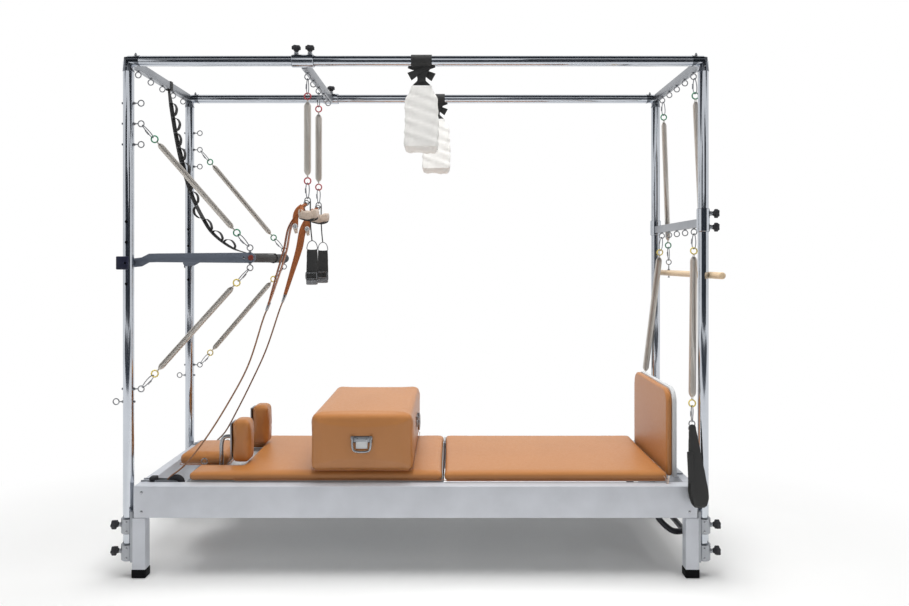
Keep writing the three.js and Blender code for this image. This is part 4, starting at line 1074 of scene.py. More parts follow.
@dataclass(frozen=True)
class MovingBar:
    """A bar with a collar round each tube it slides on, locked by three star knobs."""

    canopy: Canopy
    node: str
    knob_node: str
    body: str
    centre: Triple
    pitch: float
    axis: Triple
    knob_axis: Triple
    lift: Triple
    collars: Pair
    knob_pitch: float = 58
    outer: float = 53.6
    bore: float = 44.6
    boss: float = 20
    boss_height: float = 9
    head_gap: float = 13

    def build(self) -> None:
        """Makes the bar, its collars and its knobs."""
        x, _, z = self.centre
        axis, knob_axis = Vector(self.axis), Vector(self.knob_axis)
        parts = self.canopy.eye_bar(x, z, self.canopy.half_width * 2 - self.outer, self.pitch)
        place = 1
        for side, sy in SIDES:
            half = self.collars[0 if sy < 0 else 1] / 2
            middle = Vector((x, sy * self.canopy.half_width, z)) + Vector(self.lift)
            parts += Look.CHROME.on(Bench.collar(
                middle - axis * half, middle + axis * half, self.outer, self.bore, 2))
            parts += Look.ELBOW.on(*(Bench.collar(
                middle + axis * (way * half - 1), middle + axis * (way * half + 1),
                self.outer - 3, self.bore, 0.4) for way in (-1, 1)))
            for reach in ((-self.knob_pitch / 2, self.knob_pitch / 2) if sy < 0 else (0,)):
                point = middle + axis * reach
                seat = point + knob_axis * (self.outer / 2 + self.boss_height)
                parts += Look.BRUSHED.on(Bench.rod(
                    point + knob_axis * (self.bore / 2 + 2), seat, self.boss, bevel=1.2))
                knob = f"{self.knob_node}_{place}_{side}"
                fitted(f"{knob}_star", StarKnob().build(seat + knob_axis * 0.3, knob_axis, self.head_gap),
                       knob, Look.BLACK, knob)
                place += 1
        fitted(f"{self.node}_bar", parts, self.body, Look.BRUSHED, self.node)


# Springs and the bars that hang on them

@dataclass(frozen=True)
class PushBar:
    """The push-through bar: bent arms, foam grip, pivot pins, levers and eyes."""

    pivot: Triple = (-POST_X, 0, 1322)
    arm_y: float = 300
    arm_thick: float = 8
    reach: float = 528
    rise: float = 22
    bend: float = 70
    half_pivot: float = 19
    half_tip: float = 22.5
    eye_x: float = 503
    eye_offset: float = 43
    handle_x: float = 507.5
    grip: float = 38
    post_face: float = 362.3
    washer_y: float = 317.6
    lever: Triple = (40, 56, 9)

    def outline(self) -> list[Pair]:
        """The arm's outline from its round pivot end, through the bend, to its round tip."""
        p, t, b = self.half_pivot, self.half_tip, self.bend
        return [*arc((0, 0), p, 90, 270, 16), (b * 0.55, -p + 4), (b, self.rise - p - 1),
                (b * 1.5, self.rise - p), *arc((self.reach - t, self.rise), t, -90, 90, 16),
                (b * 1.5, self.rise + p), (b, self.rise + p - 1), (b * 0.55, p + 5)]

    def build(self) -> None:
        """Makes the bar and its grip."""
        px, _, pz = self.pivot
        parts: list[Piece] = []
        for _, sy in SIDES:
            y = sy * self.arm_y
            parts += Look.ARM.on(Bench.plate(
                self.outline(), self.arm_thick, Plane.SIDE, (px, y, pz), 1.6))
            face, out = sy * self.post_face, sy * (self.post_face + self.lever[2])
            parts += Look.STEEL.on(
                Bench.rod((px, y, pz), (px, out, pz), 12),
                Bench.rod((px, y, pz), (px, sy * self.washer_y, pz), 26, bevel=1.5),
                *(Bench.rod((px + x, y + sy * 3, pz + self.rise), (px + x, y + sy * 6.5, pz + self.rise),
                            13, 9, bevel=1) for x in (self.handle_x - 30, self.handle_x + 8)))
            parts += Look.NAVY.on(Bench.block(
                (px - self.lever[0], face, pz - self.lever[1] / 2),
                (px + 12, out, pz + self.lever[1] / 2), 4))
            for way in (-1, 1):
                z = pz + self.rise + way * self.eye_offset
                edge = pz + self.rise + way * self.half_tip
                parts += EyeBolt().build((px + self.eye_x, y, z), (px + self.eye_x, y, edge))
            cap = Bench.rod((px + self.handle_x, y - sy * 3, pz + self.rise),
                            (px + self.handle_x, y + sy * 9, pz + self.rise), 27, 22, bevel=2)
            parts += Look.CAP.on(cap)
        fitted("push_through_bar_arms", parts, "push_bar", Look.ARM, "push_through_bar")
        x, z, half = px + self.handle_x, pz + self.rise, self.arm_y - self.arm_thick / 2 - 0.3
        rim = self.grip / 2
        sleeve = Bench.turned(
            mirrored([(14.3, -half), (rim - 5, -half), (rim, -half + 6), (rim + 0.4, -half + 60)], (rim, 0)),
            (x, 0, z), Y)
        tube = Bench.rod((x, -half, z), (x, half, z), 28)
        fitted("push_bar_grip_sleeve", Look.FOAM.on(sleeve) + Look.STEEL.on(tube),
               "push_bar", Look.FOAM, "push_bar_grip")


@dataclass(frozen=True)
class SpringSet:
    """All ten springs, and the beech bar on two of them."""

    lean: Pair = (0.071, 0.171)
    leg_length: float = 825
    roll: Triple = (1254.8, 0, 1270)
    roll_eye: Pair = (237, 55)
    roll_length: float = 914
    roll_diameter: float = 29
    push: tuple[tuple[str, float, float, Look], ...] = (
        ("top", 1912, 1387, Look.GREEN), ("bottom", 788, 1301, Look.YELLOW))
    arm_y: Pair = (-250, 0)
    arm_z: Pair = (2135, 1595)
    thin: float = 26
    thick: float = 32
    stiff_end: float = 110

    def leg_end(self, sy: int) -> tuple[Vector, Vector]:
        """Both ends of a leg spring."""
        top = Vector((POST_X, sy * 230, 1458))
        lean = Vector((-self.lean[0], sy * self.lean[1], -1)).normalized()
        return top, top + lean * self.leg_length

    def stretched(self, name: str, start: Point, end: Point, diameter: float, ring: Look,
                  bodies: tuple[str, str]) -> None:
        """Makes a spring between two points and bakes it where it stands.

        Args:
            name: The CAD node that it stands for.
            start, end: Its two ends.
            diameter: Across its coil.
            ring: The colour of its rings.
            bodies: Not used.
        """
        start, end = Vector(start), Vector(end)
        piece = Spring(start, end, diameter, ring).build(name, "")
        stiff = (end - start).normalized() * self.stiff_end
        (start + stiff) * MM
        (end - stiff) * MM
        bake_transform(piece)

    def build(self) -> None:
        """Makes the springs and the roll-down bar."""
        high, low = self.arm_z
        for (side, sy), arm_y in zip(SIDES, self.arm_y):
            for node, z, arm, look in self.push:
                self.stretched(f"push_spring_{node}_{side}", (-1165, sy * POST_Y, z), (-715, sy * 300, arm),
                               self.thin, look, ("frame", "push_bar"))
            Spring(Vector((SLIDER_X, arm_y, high)), Vector((SLIDER_X, arm_y, low)), self.thick,
                   Look.RED).build(f"arm_spring_{side}", "slider")
            self.stretched(f"leg_spring_{side}", *self.leg_end(sy), self.thick, Look.YELLOW,
                           (f"leg_spring_{side}", f"foot_strap_{side}"))
            eye_y, eye_high = self.roll_eye
            self.stretched(f"roll_spring_{side}", (1222, sy * 224, 2143),
                           (self.roll[0], sy * eye_y, self.roll[2] + eye_high),
                           self.thin, Look.GREEN, ("roll_springs", "roll_bar"))
        self.roll_bar()

    def roll_bar(self) -> None:
        """The turned beech bar with an eye bolt through it near each end."""
        x, _, z = self.roll
        r, half = self.roll_diameter / 2, self.roll_length / 2
        wood = Bench.turned(mirrored([(0.01, -half), (r - 5, -half), (r - 1.5, -half + 1.6), (r, -half + 5)]),
                            (x, 0, z), Y, 56)
        parts = Look.BEECH.on(wood)
        for _, sy in SIDES:
            y = sy * self.roll_eye[0]
            parts += EyeBolt().build((x, y, z + self.roll_eye[1]), (x, y, z + r), (x, y, z - r - 9))
        fitted("roll_down_bar_beech", parts, "roll_bar", Look.BEECH, "roll_down_bar")


# The bed

@dataclass(frozen=True)
class Bed:
    """Side rails, end rails, legs with their clamps, the folded footbar and the pulleys."""

    half_length: float = 1190
    rail_half: float = 1183.7
    half_width: float = 372
    inside: float = 312
    low: float = 252
    high: float = 385
    track: Triple = (24, 8, 300)
    end_thick: float = 40
    leg: Pair = (56, 46)
    shoe_high: float = 36
    bracket: Triple = (344, 65, 280)
    clamps: tuple[Pair, ...] = ((102.5, 69), (213.5, 65))
    pulley_size: float = 70

    def side_rails(self) -> None:
        """Two long rails, each with a track for the wheels and two bolts at each end."""
        depth, thick, top = self.track
        i, o = self.inside, self.half_width
        outline = [(i, self.low), (o, self.low), (o, self.high), (i, self.high), (i, top),
                   (i - depth, top), (i - depth, top - thick), (i, top - thick)]
        for side, sy in SIDES:
            parts = Look.RAIL.on(Bench.plate(
                [(y * sy, z) for y, z in outline], self.rail_half * 2, Plane.END, bevel=3.5, segments=4))
            for _, ex in ENDS:
                x = ex * (self.rail_half - 34)
                parts += Look.STEEL.on(*(Bench.rod(
                    (x, sy * (o - 1), z), (x, sy * (o + 3.4), z), 13, 8.5, bevel=1.2, sides=24)
                                         for z in (self.low + 26, self.high - 26)))
            fitted(f"side_rail_{side}_beam", parts, "frame", Look.RAIL, f"side_rail_{side}")

    def end_rails(self) -> None:
        """The rails across both ends; the head one carries the pulleys' cheeks and the cleats."""
        half, cheek, axle, nut = self.inside - 0.3, 14.5, 16.5, 19
        px, py, pz = PULLEY
        for end, ex in ENDS:
            outer, inner = ex * self.rail_half, ex * (self.rail_half - self.end_thick)
            parts = Look.RAIL.on(Bench.block((outer, -half, self.low), (inner, half, self.high), 3))
            for y in (-py, py) if ex < 0 else ():
                outline = mirrored([(outer + 3, -18), (px - 6, -18), (px + 10, -15), (px + 18, -4)])
                parts += Look.BRUSHED.on(*(Bench.plate(outline, 4, Plane.SIDE, (0, y + way * cheek, pz), 0.8)
                                           for way in (-1, 1)))
                parts += Look.STEEL.on(
                    Bench.rod((px, y - axle, pz), (px, y + axle, pz), 9.6),
                    *(Bench.rod((px, y + way * (axle + 0.1), pz), (px, y + way * nut, pz), 15, sides=6)
                      for way in (-1, 1)))
                parts += Look.BLACK.on(Bench.block(
                    (inner - 2, y - axle, self.high - 6), (inner + 26, y + axle, self.high + 18), 4))
            fitted(f"{end}_end_rail_beam", parts, "frame", Look.RAIL, f"{end}_end_rail")

    def legs(self) -> None:
        """Four legs with black feet, each clamped to its post by two collars with knobs."""
        for end, ex in ENDS:
            for side, sy in SIDES:
                xo, xi = ex * self.half_length, ex * (self.half_length - self.leg[0])
                yo, yi = sy * self.half_width, sy * (self.half_width - self.leg[1])
                y, low, high = self.bracket
                parts = Look.RAIL.on(Bench.block((xo, yo, 30), (xi, yi, self.low - 0.3), 3))
                parts += Look.RUBBER.on(Bench.block(
                    (xo + ex * 2, yo + sy * 2, 0), (xi - ex * 2, yi - sy * 2, self.shoe_high), 4))
                parts += Look.BRUSHED.on(Bench.block(
                    (xo - ex * 4, sy * y - 28, low), (xo + ex * 8, sy * y + 28, high), 2))
                for z, tall in self.clamps:
                    parts += self.clamp(ex * POST_X, sy * POST_Y, z, tall, ex, sy)
                name = f"leg_{end}_{side}"
                fitted(f"{name}_post_clamp", parts, "frame", Look.RAIL, name)

    @staticmethod
    def clamp(x: float, y: float, z: float, tall: float, ex: int, sy: int) -> list[Piece]:
        """One collar round a post with its side bolts and star knob.

        Args:
            x, y, z: The middle of the collar.
            tall: Its height.
            ex, sy: Which end and side it is on.

        Returns:
            The dressed parts.
        """
        parts = Look.BRUSHED.on(Bench.collar((x, y, z - tall / 2), (x, y, z + tall / 2), 58, 44.6, 2.5),
                                Bench.rod((x + ex * 24, y, z), (x + ex * 38, y, z), 22, 18, bevel=1.5))
        parts += Look.STEEL.on(*(Bench.rod(
            (x - ex * 4, y + sy * 27, high), (x - ex * 4, y + sy * 31.5, high), 10, 8, sides=6)
                                 for high in (z - tall * 0.3, z + tall * 0.3)))
        return parts + StarKnob(thickness=19).build((x + ex * 24.3, y, z), (ex, 0, 0), 26)

    def footbar(self) -> None:
        """The black footbar, folded down under the foot end."""
        px, pz, half, reach, drop = 1020, 272, 292, 140, 112
        line = [(px, -half, pz), (px + reach * 0.2, -half, pz - drop * 0.5),
                (px + reach - 62, -half, pz - drop * 0.9), (px + reach - 20, -half + 10, pz - drop + 2),
                (px + reach, -half + 52, pz - drop), (px + reach, 0, pz - drop)]
        route = Bench.curve([*line, *((x, -y, z) for x, y, z in reversed(line[:-1]))], 90)
        parts = Look.BLACK_TUBE.on(Bench.swept(route, Bench.round(25, 24), Vector((0, 0.3, 1))))
        for _, sy in SIDES:
            parts += Look.BLACK.on(Bench.rod(
                (px, sy * 279.5, pz), (px, sy * 311.7, pz), 34, bevel=3))
        fitted("footbar_tube", parts, "footbar", Look.BLACK_TUBE, "footbar")

    def pulleys(self) -> None:
        """The grooved pulleys that the ropes run round."""
        x, y, z = PULLEY
        r = self.pulley_size / 2
        profile = mirrored([(5.3, -11), (12, -11), (13, -9), (r - 12, -8.5), (r - 3, -11), (r, -10),
                            (r - 0.5, -8), (r - 7, -3)], (r - 9, 0))
        for side, sy in SIDES:
            wheel = Look.BLACK.on(Bench.turned(profile, (x, sy * y, z), Y, 56))
            fitted(f"pulley_{side}_wheel", wheel, f"pulley_{side}", Look.BLACK, f"pulley_{side}")

    def build(self) -> None:
        """Makes the bed."""
        self.side_rails()
        self.end_rails()
        self.legs()
        self.footbar()
        self.pulleys()


# Upholstery

@dataclass(frozen=True)
class Pad:
    """An upholstered pad: crowned, drawn in at its sides, swollen by its stuffing, with a piped seam."""

    low: Triple
    high: Triple
    rounding: float = 14
    crown: float = 5
    draw: float = 3
    cap: float = 5
    seam_z: tuple[float, ...] = ()
    fill: float = 0.9
    voxel: float = 8
    wings: tuple[tuple[float, float, float, float], ...] = ()

    def shell(self) -> Piece:
        """The pad's skin before its stuffing swells it."""
        low, high = Vector(self.low), Vector(self.high)
        mid, half = (low + high) / 2, (high - low) / 2
        shrink = 1.2
        core = Bench.block(low + Vector((1, 1, 1)) * shrink, high - Vector((1, 1, 1)) * shrink,
                           min(self.rounding, half.z - 2, half.x - 2, half.y - 2))
        if self.wings:
            core = Bench.joined("core", [core, *(Bench.block(
                (x0, y0 + shrink, low.z + shrink), (x1, y1 - shrink, high.z - shrink),
                min(self.rounding, half.z - 2)) for x0, y0, x1, y1 in self.wings)])
        Bench.modified(core, "REMESH", mode="VOXEL", voxel_size=self.voxel * MM)
        for vertex in core.data.vertices:
            p = vertex.co / MM - mid
            sx, sy = 1 - (p.x / half.x) ** 2, 1 - (p.y / half.y) ** 2
            if p.z > 0:
                p.z += self.crown * max(sx, 0) * max(sy, 0) * p.z / half.z
            p.y *= 1 - self.draw / half.y * max(sx, 0)
            p.x *= 1 - self.draw / half.x * max(sy, 0)
            vertex.co = (p + mid) * MM
        return core

    def swollen(self, piece: Piece) -> Piece:
        """Lets the stuffing press the skin outwards, each point by no more than the cap."""
        before = [v.co.copy() for v in piece.data.vertices]
        Bench.take(piece)
        cloth = piece.modifiers.new("Stuffing", "CLOTH")
        cloth.settings.use_pressure = True
        cloth.settings.uniform_pressure_force = 4
        cloth.settings.effector_weights.gravity = 0
        cloth.settings.quality = 3
        cloth.point_cache.frame_start, cloth.point_cache.frame_end = 1, 14
        for step in range(1, 15):
            bpy.context.scene.frame_set(step)
        bpy.ops.object.modifier_apply(modifier=cloth.name)
        bpy.context.scene.frame_set(1)
        floor = self.low[2] * MM
        for vertex, start in zip(piece.data.vertices, before):
            shift = vertex.co - start
            if shift.length > self.cap * MM:
                shift.length = self.cap * MM
            vertex.co = start + shift
            vertex.co.z = max(vertex.co.z, floor)
        return Bench.eased(piece, 0, angle=60)

    def piping(self) -> list[Piece]:
        """The piped seams round the pad, in the pad's own tan vinyl painted darker as shade along them."""
        parts = []
        (x0, y0, _), (x1, y1, _) = self.low, self.high
        for z in self.seam_z:
            corner = self.rounding + 4
            ring = []
            for cx, cy, start in ((x1 - corner, y1 - corner, 0), (x0 + corner, y1 - corner, 1),
                                  (x0 + corner, y0 + corner, 2), (x1 - corner, y0 + corner, 3)):
                ring += arc((cx, cy), corner, start * 90, start * 90 + 90, 6)
            mx, my, hx, hy = (x0 + x1) / 2, (y0 + y1) / 2, (x1 - x0) / 2, (y1 - y0) / 2
            route = []
            for (ax, ay), (bx, by) in zip(ring, ring[1:] + ring[:1]):
                steps = max(1, int(math.hypot(bx - ax, by - ay) / 30))
                for k in range(steps):
                    px, py = ax + (bx - ax) * k / steps - mx, ay + (by - ay) * k / steps - my
                    sx, sy = max(1 - (px / hx) ** 2, 0), max(1 - (py / hy) ** 2, 0)
                    route.append(Vector((mx + px * (1 - self.draw / hx * sy),
                                         my + py * (1 - self.draw / hy * sx), z)))
            parts += Look.SEAM.on(Bench.swept(route, Bench.round(3.2, 8), looped=True))
        return parts

    def build(self, name: str, body: str, *nodes: str, extra: Sequence[Piece] = ()) -> Piece:
        """Makes the pad.

        Args:
            name: The finished piece's name.
            body: The body that it rides on.
            nodes: The CAD nodes that it stands for.
            extra: Dressed rigid parts that belong to the same CAD node.

        Returns:
            The upholstered piece.
        """
        skin = self.swollen(self.shell())
        piece = fitted(name, Look.TAN.on(skin), body, Look.TAN, *nodes)
        trim = [*self.piping(), *extra]
        if trim:
            fitted(f"{name}_trim", trim, body, Look.TAN)
        return piece


@dataclass(frozen=True)
class Carriage:
    """The rolling carriage with its plate, wheels, pads, headrest and shoulder rests."""

    head: float = -785
    foot: float = 117
    wing: float = 190
    half_width: float = 323
    pad_low: float = 389
    pad_top: float = 426
    plate: Pair = (374.7, 388.7)
    head_top: float = 397
    wheel_z: float = 322.3
    rope_hole: float = 12
    slot_y: float = 172
    beam_y: float = 262
    wheel_y: float = 298
    eye: Pair = (-961, 160)
    rod_x: float = -886
    rest_y: float = 155

    def chassis(self) -> None:
        """Plate, beams and wheels under the pads, with the slotted head plate and its eyes."""
        start, (low, high) = self.head - self.wing, self.plate
        parts = Look.PANEL.on(Bench.block((start, -300, low), (self.foot, 300, high), 2))
        deck = Bench.block((start, -191.7, high - 2), (self.head - 0.3, 191.7, self.head_top), 2)
        for _, sy in SIDES:
            slot, beam = sy * self.slot_y, sy * self.beam_y
            Bench.cut(deck, Bench.block((self.head - 66, slot - 7, high + 0.3),
                                        (self.head - 8, slot + 7, self.head_top + 4), 0))
            parts += Look.RUBBER.on(Bench.block(
                (self.head - 67, slot - 8, high - 1), (self.head - 7, slot + 8, high + 3), 0.5))
            rail = Bench.block((start, beam - 15, high - 76), (self.foot, beam + 15, low + 2), 2)
            hole = Vector((start - 2, sy * ROPE_EYE[1], ROPE_EYE[2]))
            Bench.cut(rail, Bench.rod(hole, hole + X * 30, self.rope_hole, bevel=0))
            parts += Look.RAIL.on(rail)
            for x in (start + 130, self.foot - 130):
                parts += Look.BLACK.on(Bench.turned(
                    mirrored([(6, -8), (20, -8), (22, -6)]), (x, sy * self.wheel_y, self.wheel_z), Y))
                parts += Look.STEEL.on(Bench.rod(
                    (x, beam, self.wheel_z), (x, sy * (self.wheel_y + 8), self.wheel_z), 12))
            x, y = self.eye[0], sy * self.eye[1]
            parts += EyeBolt().build((x, y, self.head_top + 32), (x, y, self.head_top))
        parts += Look.PANEL.on(deck)
        fitted("carriage_frame_deck", parts, "carriage", Look.PANEL, "carriage_frame")

    def pads(self) -> None:
        """The main pad with a wing at each side, and the headrest between them."""
        start, inner, outer = self.head - self.wing, self.wing + 2, self.half_width
        Pad((self.head, -outer, self.pad_low), (self.foot, outer, self.pad_top), 15, 6, 3,
            seam_z=(self.pad_low + 6,), wings=((start, -outer, self.head + 60, -inner),
                                               (start, inner, self.head + 60, outer))).build(
            "carriage_pad_cover", "carriage", "carriage_pad")
        Pad((-1092, -131, 398), (-862, 131, 451), 22, 6, 3, seam_z=(404,), voxel=6).build(
            "headrest_cover", "headrest", "headrest")

    def shoulder_rests(self) -> None:
        """Two blocks on bent rods that stand in the head plate."""
        for side, sy in SIDES:
            x, y = self.rod_x, sy * self.rest_y
            route = Bench.curve([(x, y, 397.6), (x, y, 450), (x, y, 500), (x + 6, y, 527), (x + 20, y, 539),
                                 (x + 52, y, 540)], 40)
            extra = Look.STEEL.on(Bench.swept(route, Bench.round(18, 20), Y),
                                  Bench.rod((x, y, 397.4), (x, y, 403.5), 36, 30, bevel=1.5))
            extra += Look.BRUSHED.on(Bench.block((-836.5, y - 36, 444), (-829, y + 36, 608), 2.5))
            extra += Look.STEEL.on(*(Bench.rod((-840, y + b * 16, z), (-836, y + b * 16, z), 10, 8)
                                     for b in (-1, 1) for z in (500, 575)))
            Pad((-829, y - 49, 431), (-746, y + 49, 621), 22, 4, 3, 4, seam_z=(), voxel=6).build(
                f"shoulder_rest_{side}_cover", f"shoulder_rest_{side}", f"shoulder_rest_{side}", extra=extra)

    def build(self) -> None:
        """Makes the carriage."""
        self.chassis()
        self.pads()
        self.shoulder_rests()


@dataclass(frozen=True)
class SittingBox:
    """The tan box across the carriage, with bail handles and a webbing tongue."""

    low: Triple = (-450, -335, 432.3)
    high: Triple = (-13, 335, 680)
    front_z: float = 585
    foot_z: float = 600

    def handle(self, origin: Vector, facing: float) -> list[Piece]:
        """One bail handle.

        Args:
            origin: The top middle of its plate, on the box.
            facing: Turn about Z in degrees from facing the front.

        Returns:
            The dressed parts.
        """
        parts = Look.BRUSHED.on(Bench.block((-43, -6, -24), (43, 0.5, 0), 3), *(
            Bench.block((way * 46, -15, -12), (way * 34, -4, 4), 3) for way in (-1, 1)))
        parts += Look.BLACK.on(Bench.block((-44.5, -2, -27), (44.5, 0.4, 2), 1))
        right = ((39, -13, -4), (39, -14, -34), (33, -14, -56), (14, -14, -62))
        bail = Bench.curve([*((-x, y, z) for x, y, z in right), *reversed(right)], 60)
        tongue = Bench.curve([(0, -5, -22), (0, -6, -34), (0, -7, -50)], 8)
        parts += Look.STEEL.on(Bench.swept(bail, Bench.round(9, 14), Y))
        parts += Look.PANEL.on(Bench.swept(tongue, Bench.flat(50, 4), X))
        parts += Look.STEEL.on(*(Bench.rod((x, -6, -12), (x, -8.5, -12), 8, 6) for x in (-20, 20)))
        matrix = Matrix.Rotation(math.radians(facing), 4, "Z")
        matrix.translation = origin
        return Bench.moved(parts, matrix)

    def build(self) -> None:
        """Makes the box."""
        extra = self.handle(Vector((-230, -333, self.front_z)), 0)
        extra += self.handle(Vector((-16, 0, self.foot_z)), 90)
        Pad(self.low, self.high, 22, 3, 2, 2.5, seam_z=(441,), fill=1.0, voxel=7).build(
            "sitting_box_cover", "sitting_box", "sitting_box", extra=extra)


@dataclass(frozen=True)
class FootEnd:
    """The mat on its board, and the jumpboard with its pad."""

    mat: Pair = (118, 1085)
    board: Triple = (392, 774, 270)
    face: float = 1084
    pad_thick: float = 27
    corner: float = 60
    dome: Triple = (3.5, 280, 190)
    dome_z: float = 584

    def outline(self, inset: float) -> list[Pair]:
        """The jumpboard's outline with two round top corners, drawn in by an inset."""
        low, high, half = self.board[0] + inset, self.board[1] - inset, self.board[2] - inset
        r = self.corner - inset
        arcs = arc((half - r, high - r), r, 0, 90, 10)
        return [(-half, low), (half, low), *arcs, *((-y, z) for y, z in reversed(arcs))]

    def build(self) -> None:
        """Makes both."""
        x0, x1 = self.mat
        panel = Look.PANEL.on(Bench.block((x0 + 12, -309, 385.3), (x1 - 12, 309, 390), 1))
        panel += Look.RUBBER.on(Bench.block((x0 - 2.2, -308, 386), (x0 + 1, 308, 419), 0.6))
        loop = Bench.curve([(1058, -321, 412), (1062, -334, 402), (1068, -336, 384), (1074, -332, 400),
                            (1078, -321, 412)], 24)
        panel += Look.CREAM.on(Bench.swept(loop, Bench.flat(9, 2), Vector((0, 1, 0.2))))
        Pad((x0 - 2, -323, 387.5), (x1 - 6, 323, 426), 13, 6, 2, 4, seam_z=(394,)).build(
            "mat_cover", "mat", "mat", extra=panel)
        back = self.face + self.pad_thick + 18.3
        parts = Look.PANEL.on(Bench.plate(self.outline(0), 18, Plane.END, (back - 9, 0, 0), 2.5, 3))
        for _, sy in SIDES:
            y = sy * 190
            parts += Look.BRUSHED.on(Bench.block((back - 2, y - 20, 385.3), (1177, y + 20, 391.3), 1),
                                     Bench.block((back - 2, y - 20, 385.3), (back + 6, y + 20, 475.3), 1))
            parts += Look.STEEL.on(*(Bench.rod((back + 5, y, z), (back + 10, y, z), 12, 10, sides=6)
                                     for z in (420, 455)))
        fitted("jumpboard_panel_board", parts, "jumpboard", Look.PANEL, "jumpboard_panel")
        pad = Bench.plate(self.outline(3), self.pad_thick - 2, Plane.END,
                          (self.face + self.pad_thick / 2 + 1, 0, 0), 9, 5)
        Bench.modified(pad, "REMESH", mode="VOXEL", voxel_size=6 * MM)
        deep, wide, tall = self.dome
        for vertex in pad.data.vertices:
            y, z = vertex.co.y / MM / wide, (vertex.co.z / MM - self.dome_z) / tall
            if vertex.co.x / MM < self.face + self.pad_thick / 2:
                vertex.co.x -= deep * MM * max(1 - y ** 2, 0) * max(1 - z ** 2, 0)
        piece = fitted("jumpboard_pad_cover", Look.TAN.on(Bench.eased(pad, 0, angle=60)),
                       "jumpboard", Look.TAN, "jumpboard_pad")


# Straps, slings, cuffs and ropes

@dataclass(frozen=True)
class HangingLoop:
    """A band that hangs as a drop: narrow at its hook, round at the bottom."""

    height: float
    depth: float
    band: float
    breadth: float
    top_share: float
    fall: float
    shift: float = 0
    tuck: float = 0.22
    soft: float = 20
    steps: int = 64

    def route(self) -> list[Vector]:
        """The band's middle line in its own Y and Z, from the top round and back."""
        radius = self.depth / 2 - self.band / 2
        centre = -(self.height - self.depth / 2)
        top = -self.band * 0.6
        line = [(0, 2.0, top), (0, radius * 0.45, centre * 0.4),
                *((0, y, z) for y, z in arc((0, centre), radius, 0, -180, 8)),
                (0, -radius * 0.45, centre * 0.4), (0, -2.0, top)]
        return Bench.curve(line, self.steps)

    def band_piece(self, section: list[Pair], crumple: float) -> Piece:
        """The band itself.

        Args:
            section: Its section at full breadth.
            crumple: How far folds push its skin in and out.

        Returns:
            The undressed piece.
        """
        route = self.route()
        scales = []
        for point in route:
            share = min(max(-point.z / self.fall, 0), 1)
            low = max(-point.z - self.height + self.soft, 0) / self.soft
            wide = self.top_share + (1 - self.top_share) * share
            scales.append((wide * (1 - self.tuck * low ** 2), 1))
            point.x += self.shift * share
        piece = Bench.swept(route, section, X, scales)
        for vertex in piece.data.vertices:
            x, _, z = (value / MM for value in vertex.co)
            fold = (0.6 * math.sin(z * 0.13 + x * 0.05) + 0.7 * math.sin(x * 0.19 - z * 0.03 + 1.3)
                    + 0.4 * math.sin(x * 0.07 + z * 0.24))
            vertex.co += vertex.normal * (fold * crumple * MM)
        return piece


@dataclass(frozen=True)
class Slings:
    """Fleece slings on the top rails: webbing wrap, gathered neck and padded loop."""

    places: Pair = (24, 72)
    wrap: float = 88
    loop: HangingLoop = HangingLoop(292, 74, 17, 142, 0.55, 74)

    def build(self) -> None:
        """Makes both slings."""
        for (side, sy), x in zip(SIDES, self.places):
            origin = Vector((x, sy * POST_Y, RAIL_Z))
            circle = [origin + Vector((0, math.sin(TURN * k / 48), math.cos(TURN * k / 48))) * 24.2
                      for k in range(48)]
            parts = Look.WEBBING.on(Bench.swept(circle, Bench.flat(self.wrap, 3.4), X, looped=True))
            neck = [origin + Vector((0, 0, -23 - 80 * k / 12)) for k in range(13)]
            widths = [(1 - 0.62 * math.sin(min(k / 9, 1) * math.pi / 2) + 0.5 * max(k - 9, 0) / 3, 1)
                      for k in range(13)]
            for offset in (-3, 3):
                parts += Look.WEBBING.on(Bench.swept(
                    [p + Vector((0, offset * (1 - i / 18), 0)) for i, p in enumerate(neck)],
                    Bench.flat(self.wrap, 3), X, widths))
            for lean, deep in ((0.5, -6.5), (-0.5, 6.5)):
                tie = [origin + Vector((reach * math.cos(lean), deep, reach * math.sin(lean) - 40))
                       for reach in (-58, -40, -20, 0, 20, 40, 58)]
                spread = [(s, 1) for s in (1.15, 1.0, 0.75, 0.6, 0.75, 1.0, 1.15)]
                parts += Look.WEBBING.on(Bench.swept(tie, Bench.flat(32, 2.6), Z, spread))
            band = [origin + Vector((math.cos(TURN * k / 24) * 17, math.sin(TURN * k / 24) * 7, -84))
                    for k in range(24)]
            parts += Look.WEBBING.on(Bench.swept(band, Bench.flat(16, 2.4), Z, looped=True))
            fitted(f"sling_{side}_webbing", parts, f"sling_{side}", Look.WEBBING, f"sling_{side}")
            loop = self.loop.band_piece(Bench.padding(self.loop.breadth, 18, 40), 2.4)
            loop = Bench.moved(Look.FLEECE.on(loop), Matrix.Translation(origin - Z * 98))
            piece = fitted(f"sling_{side}_fleece", loop, f"sling_{side}", Look.FLEECE)


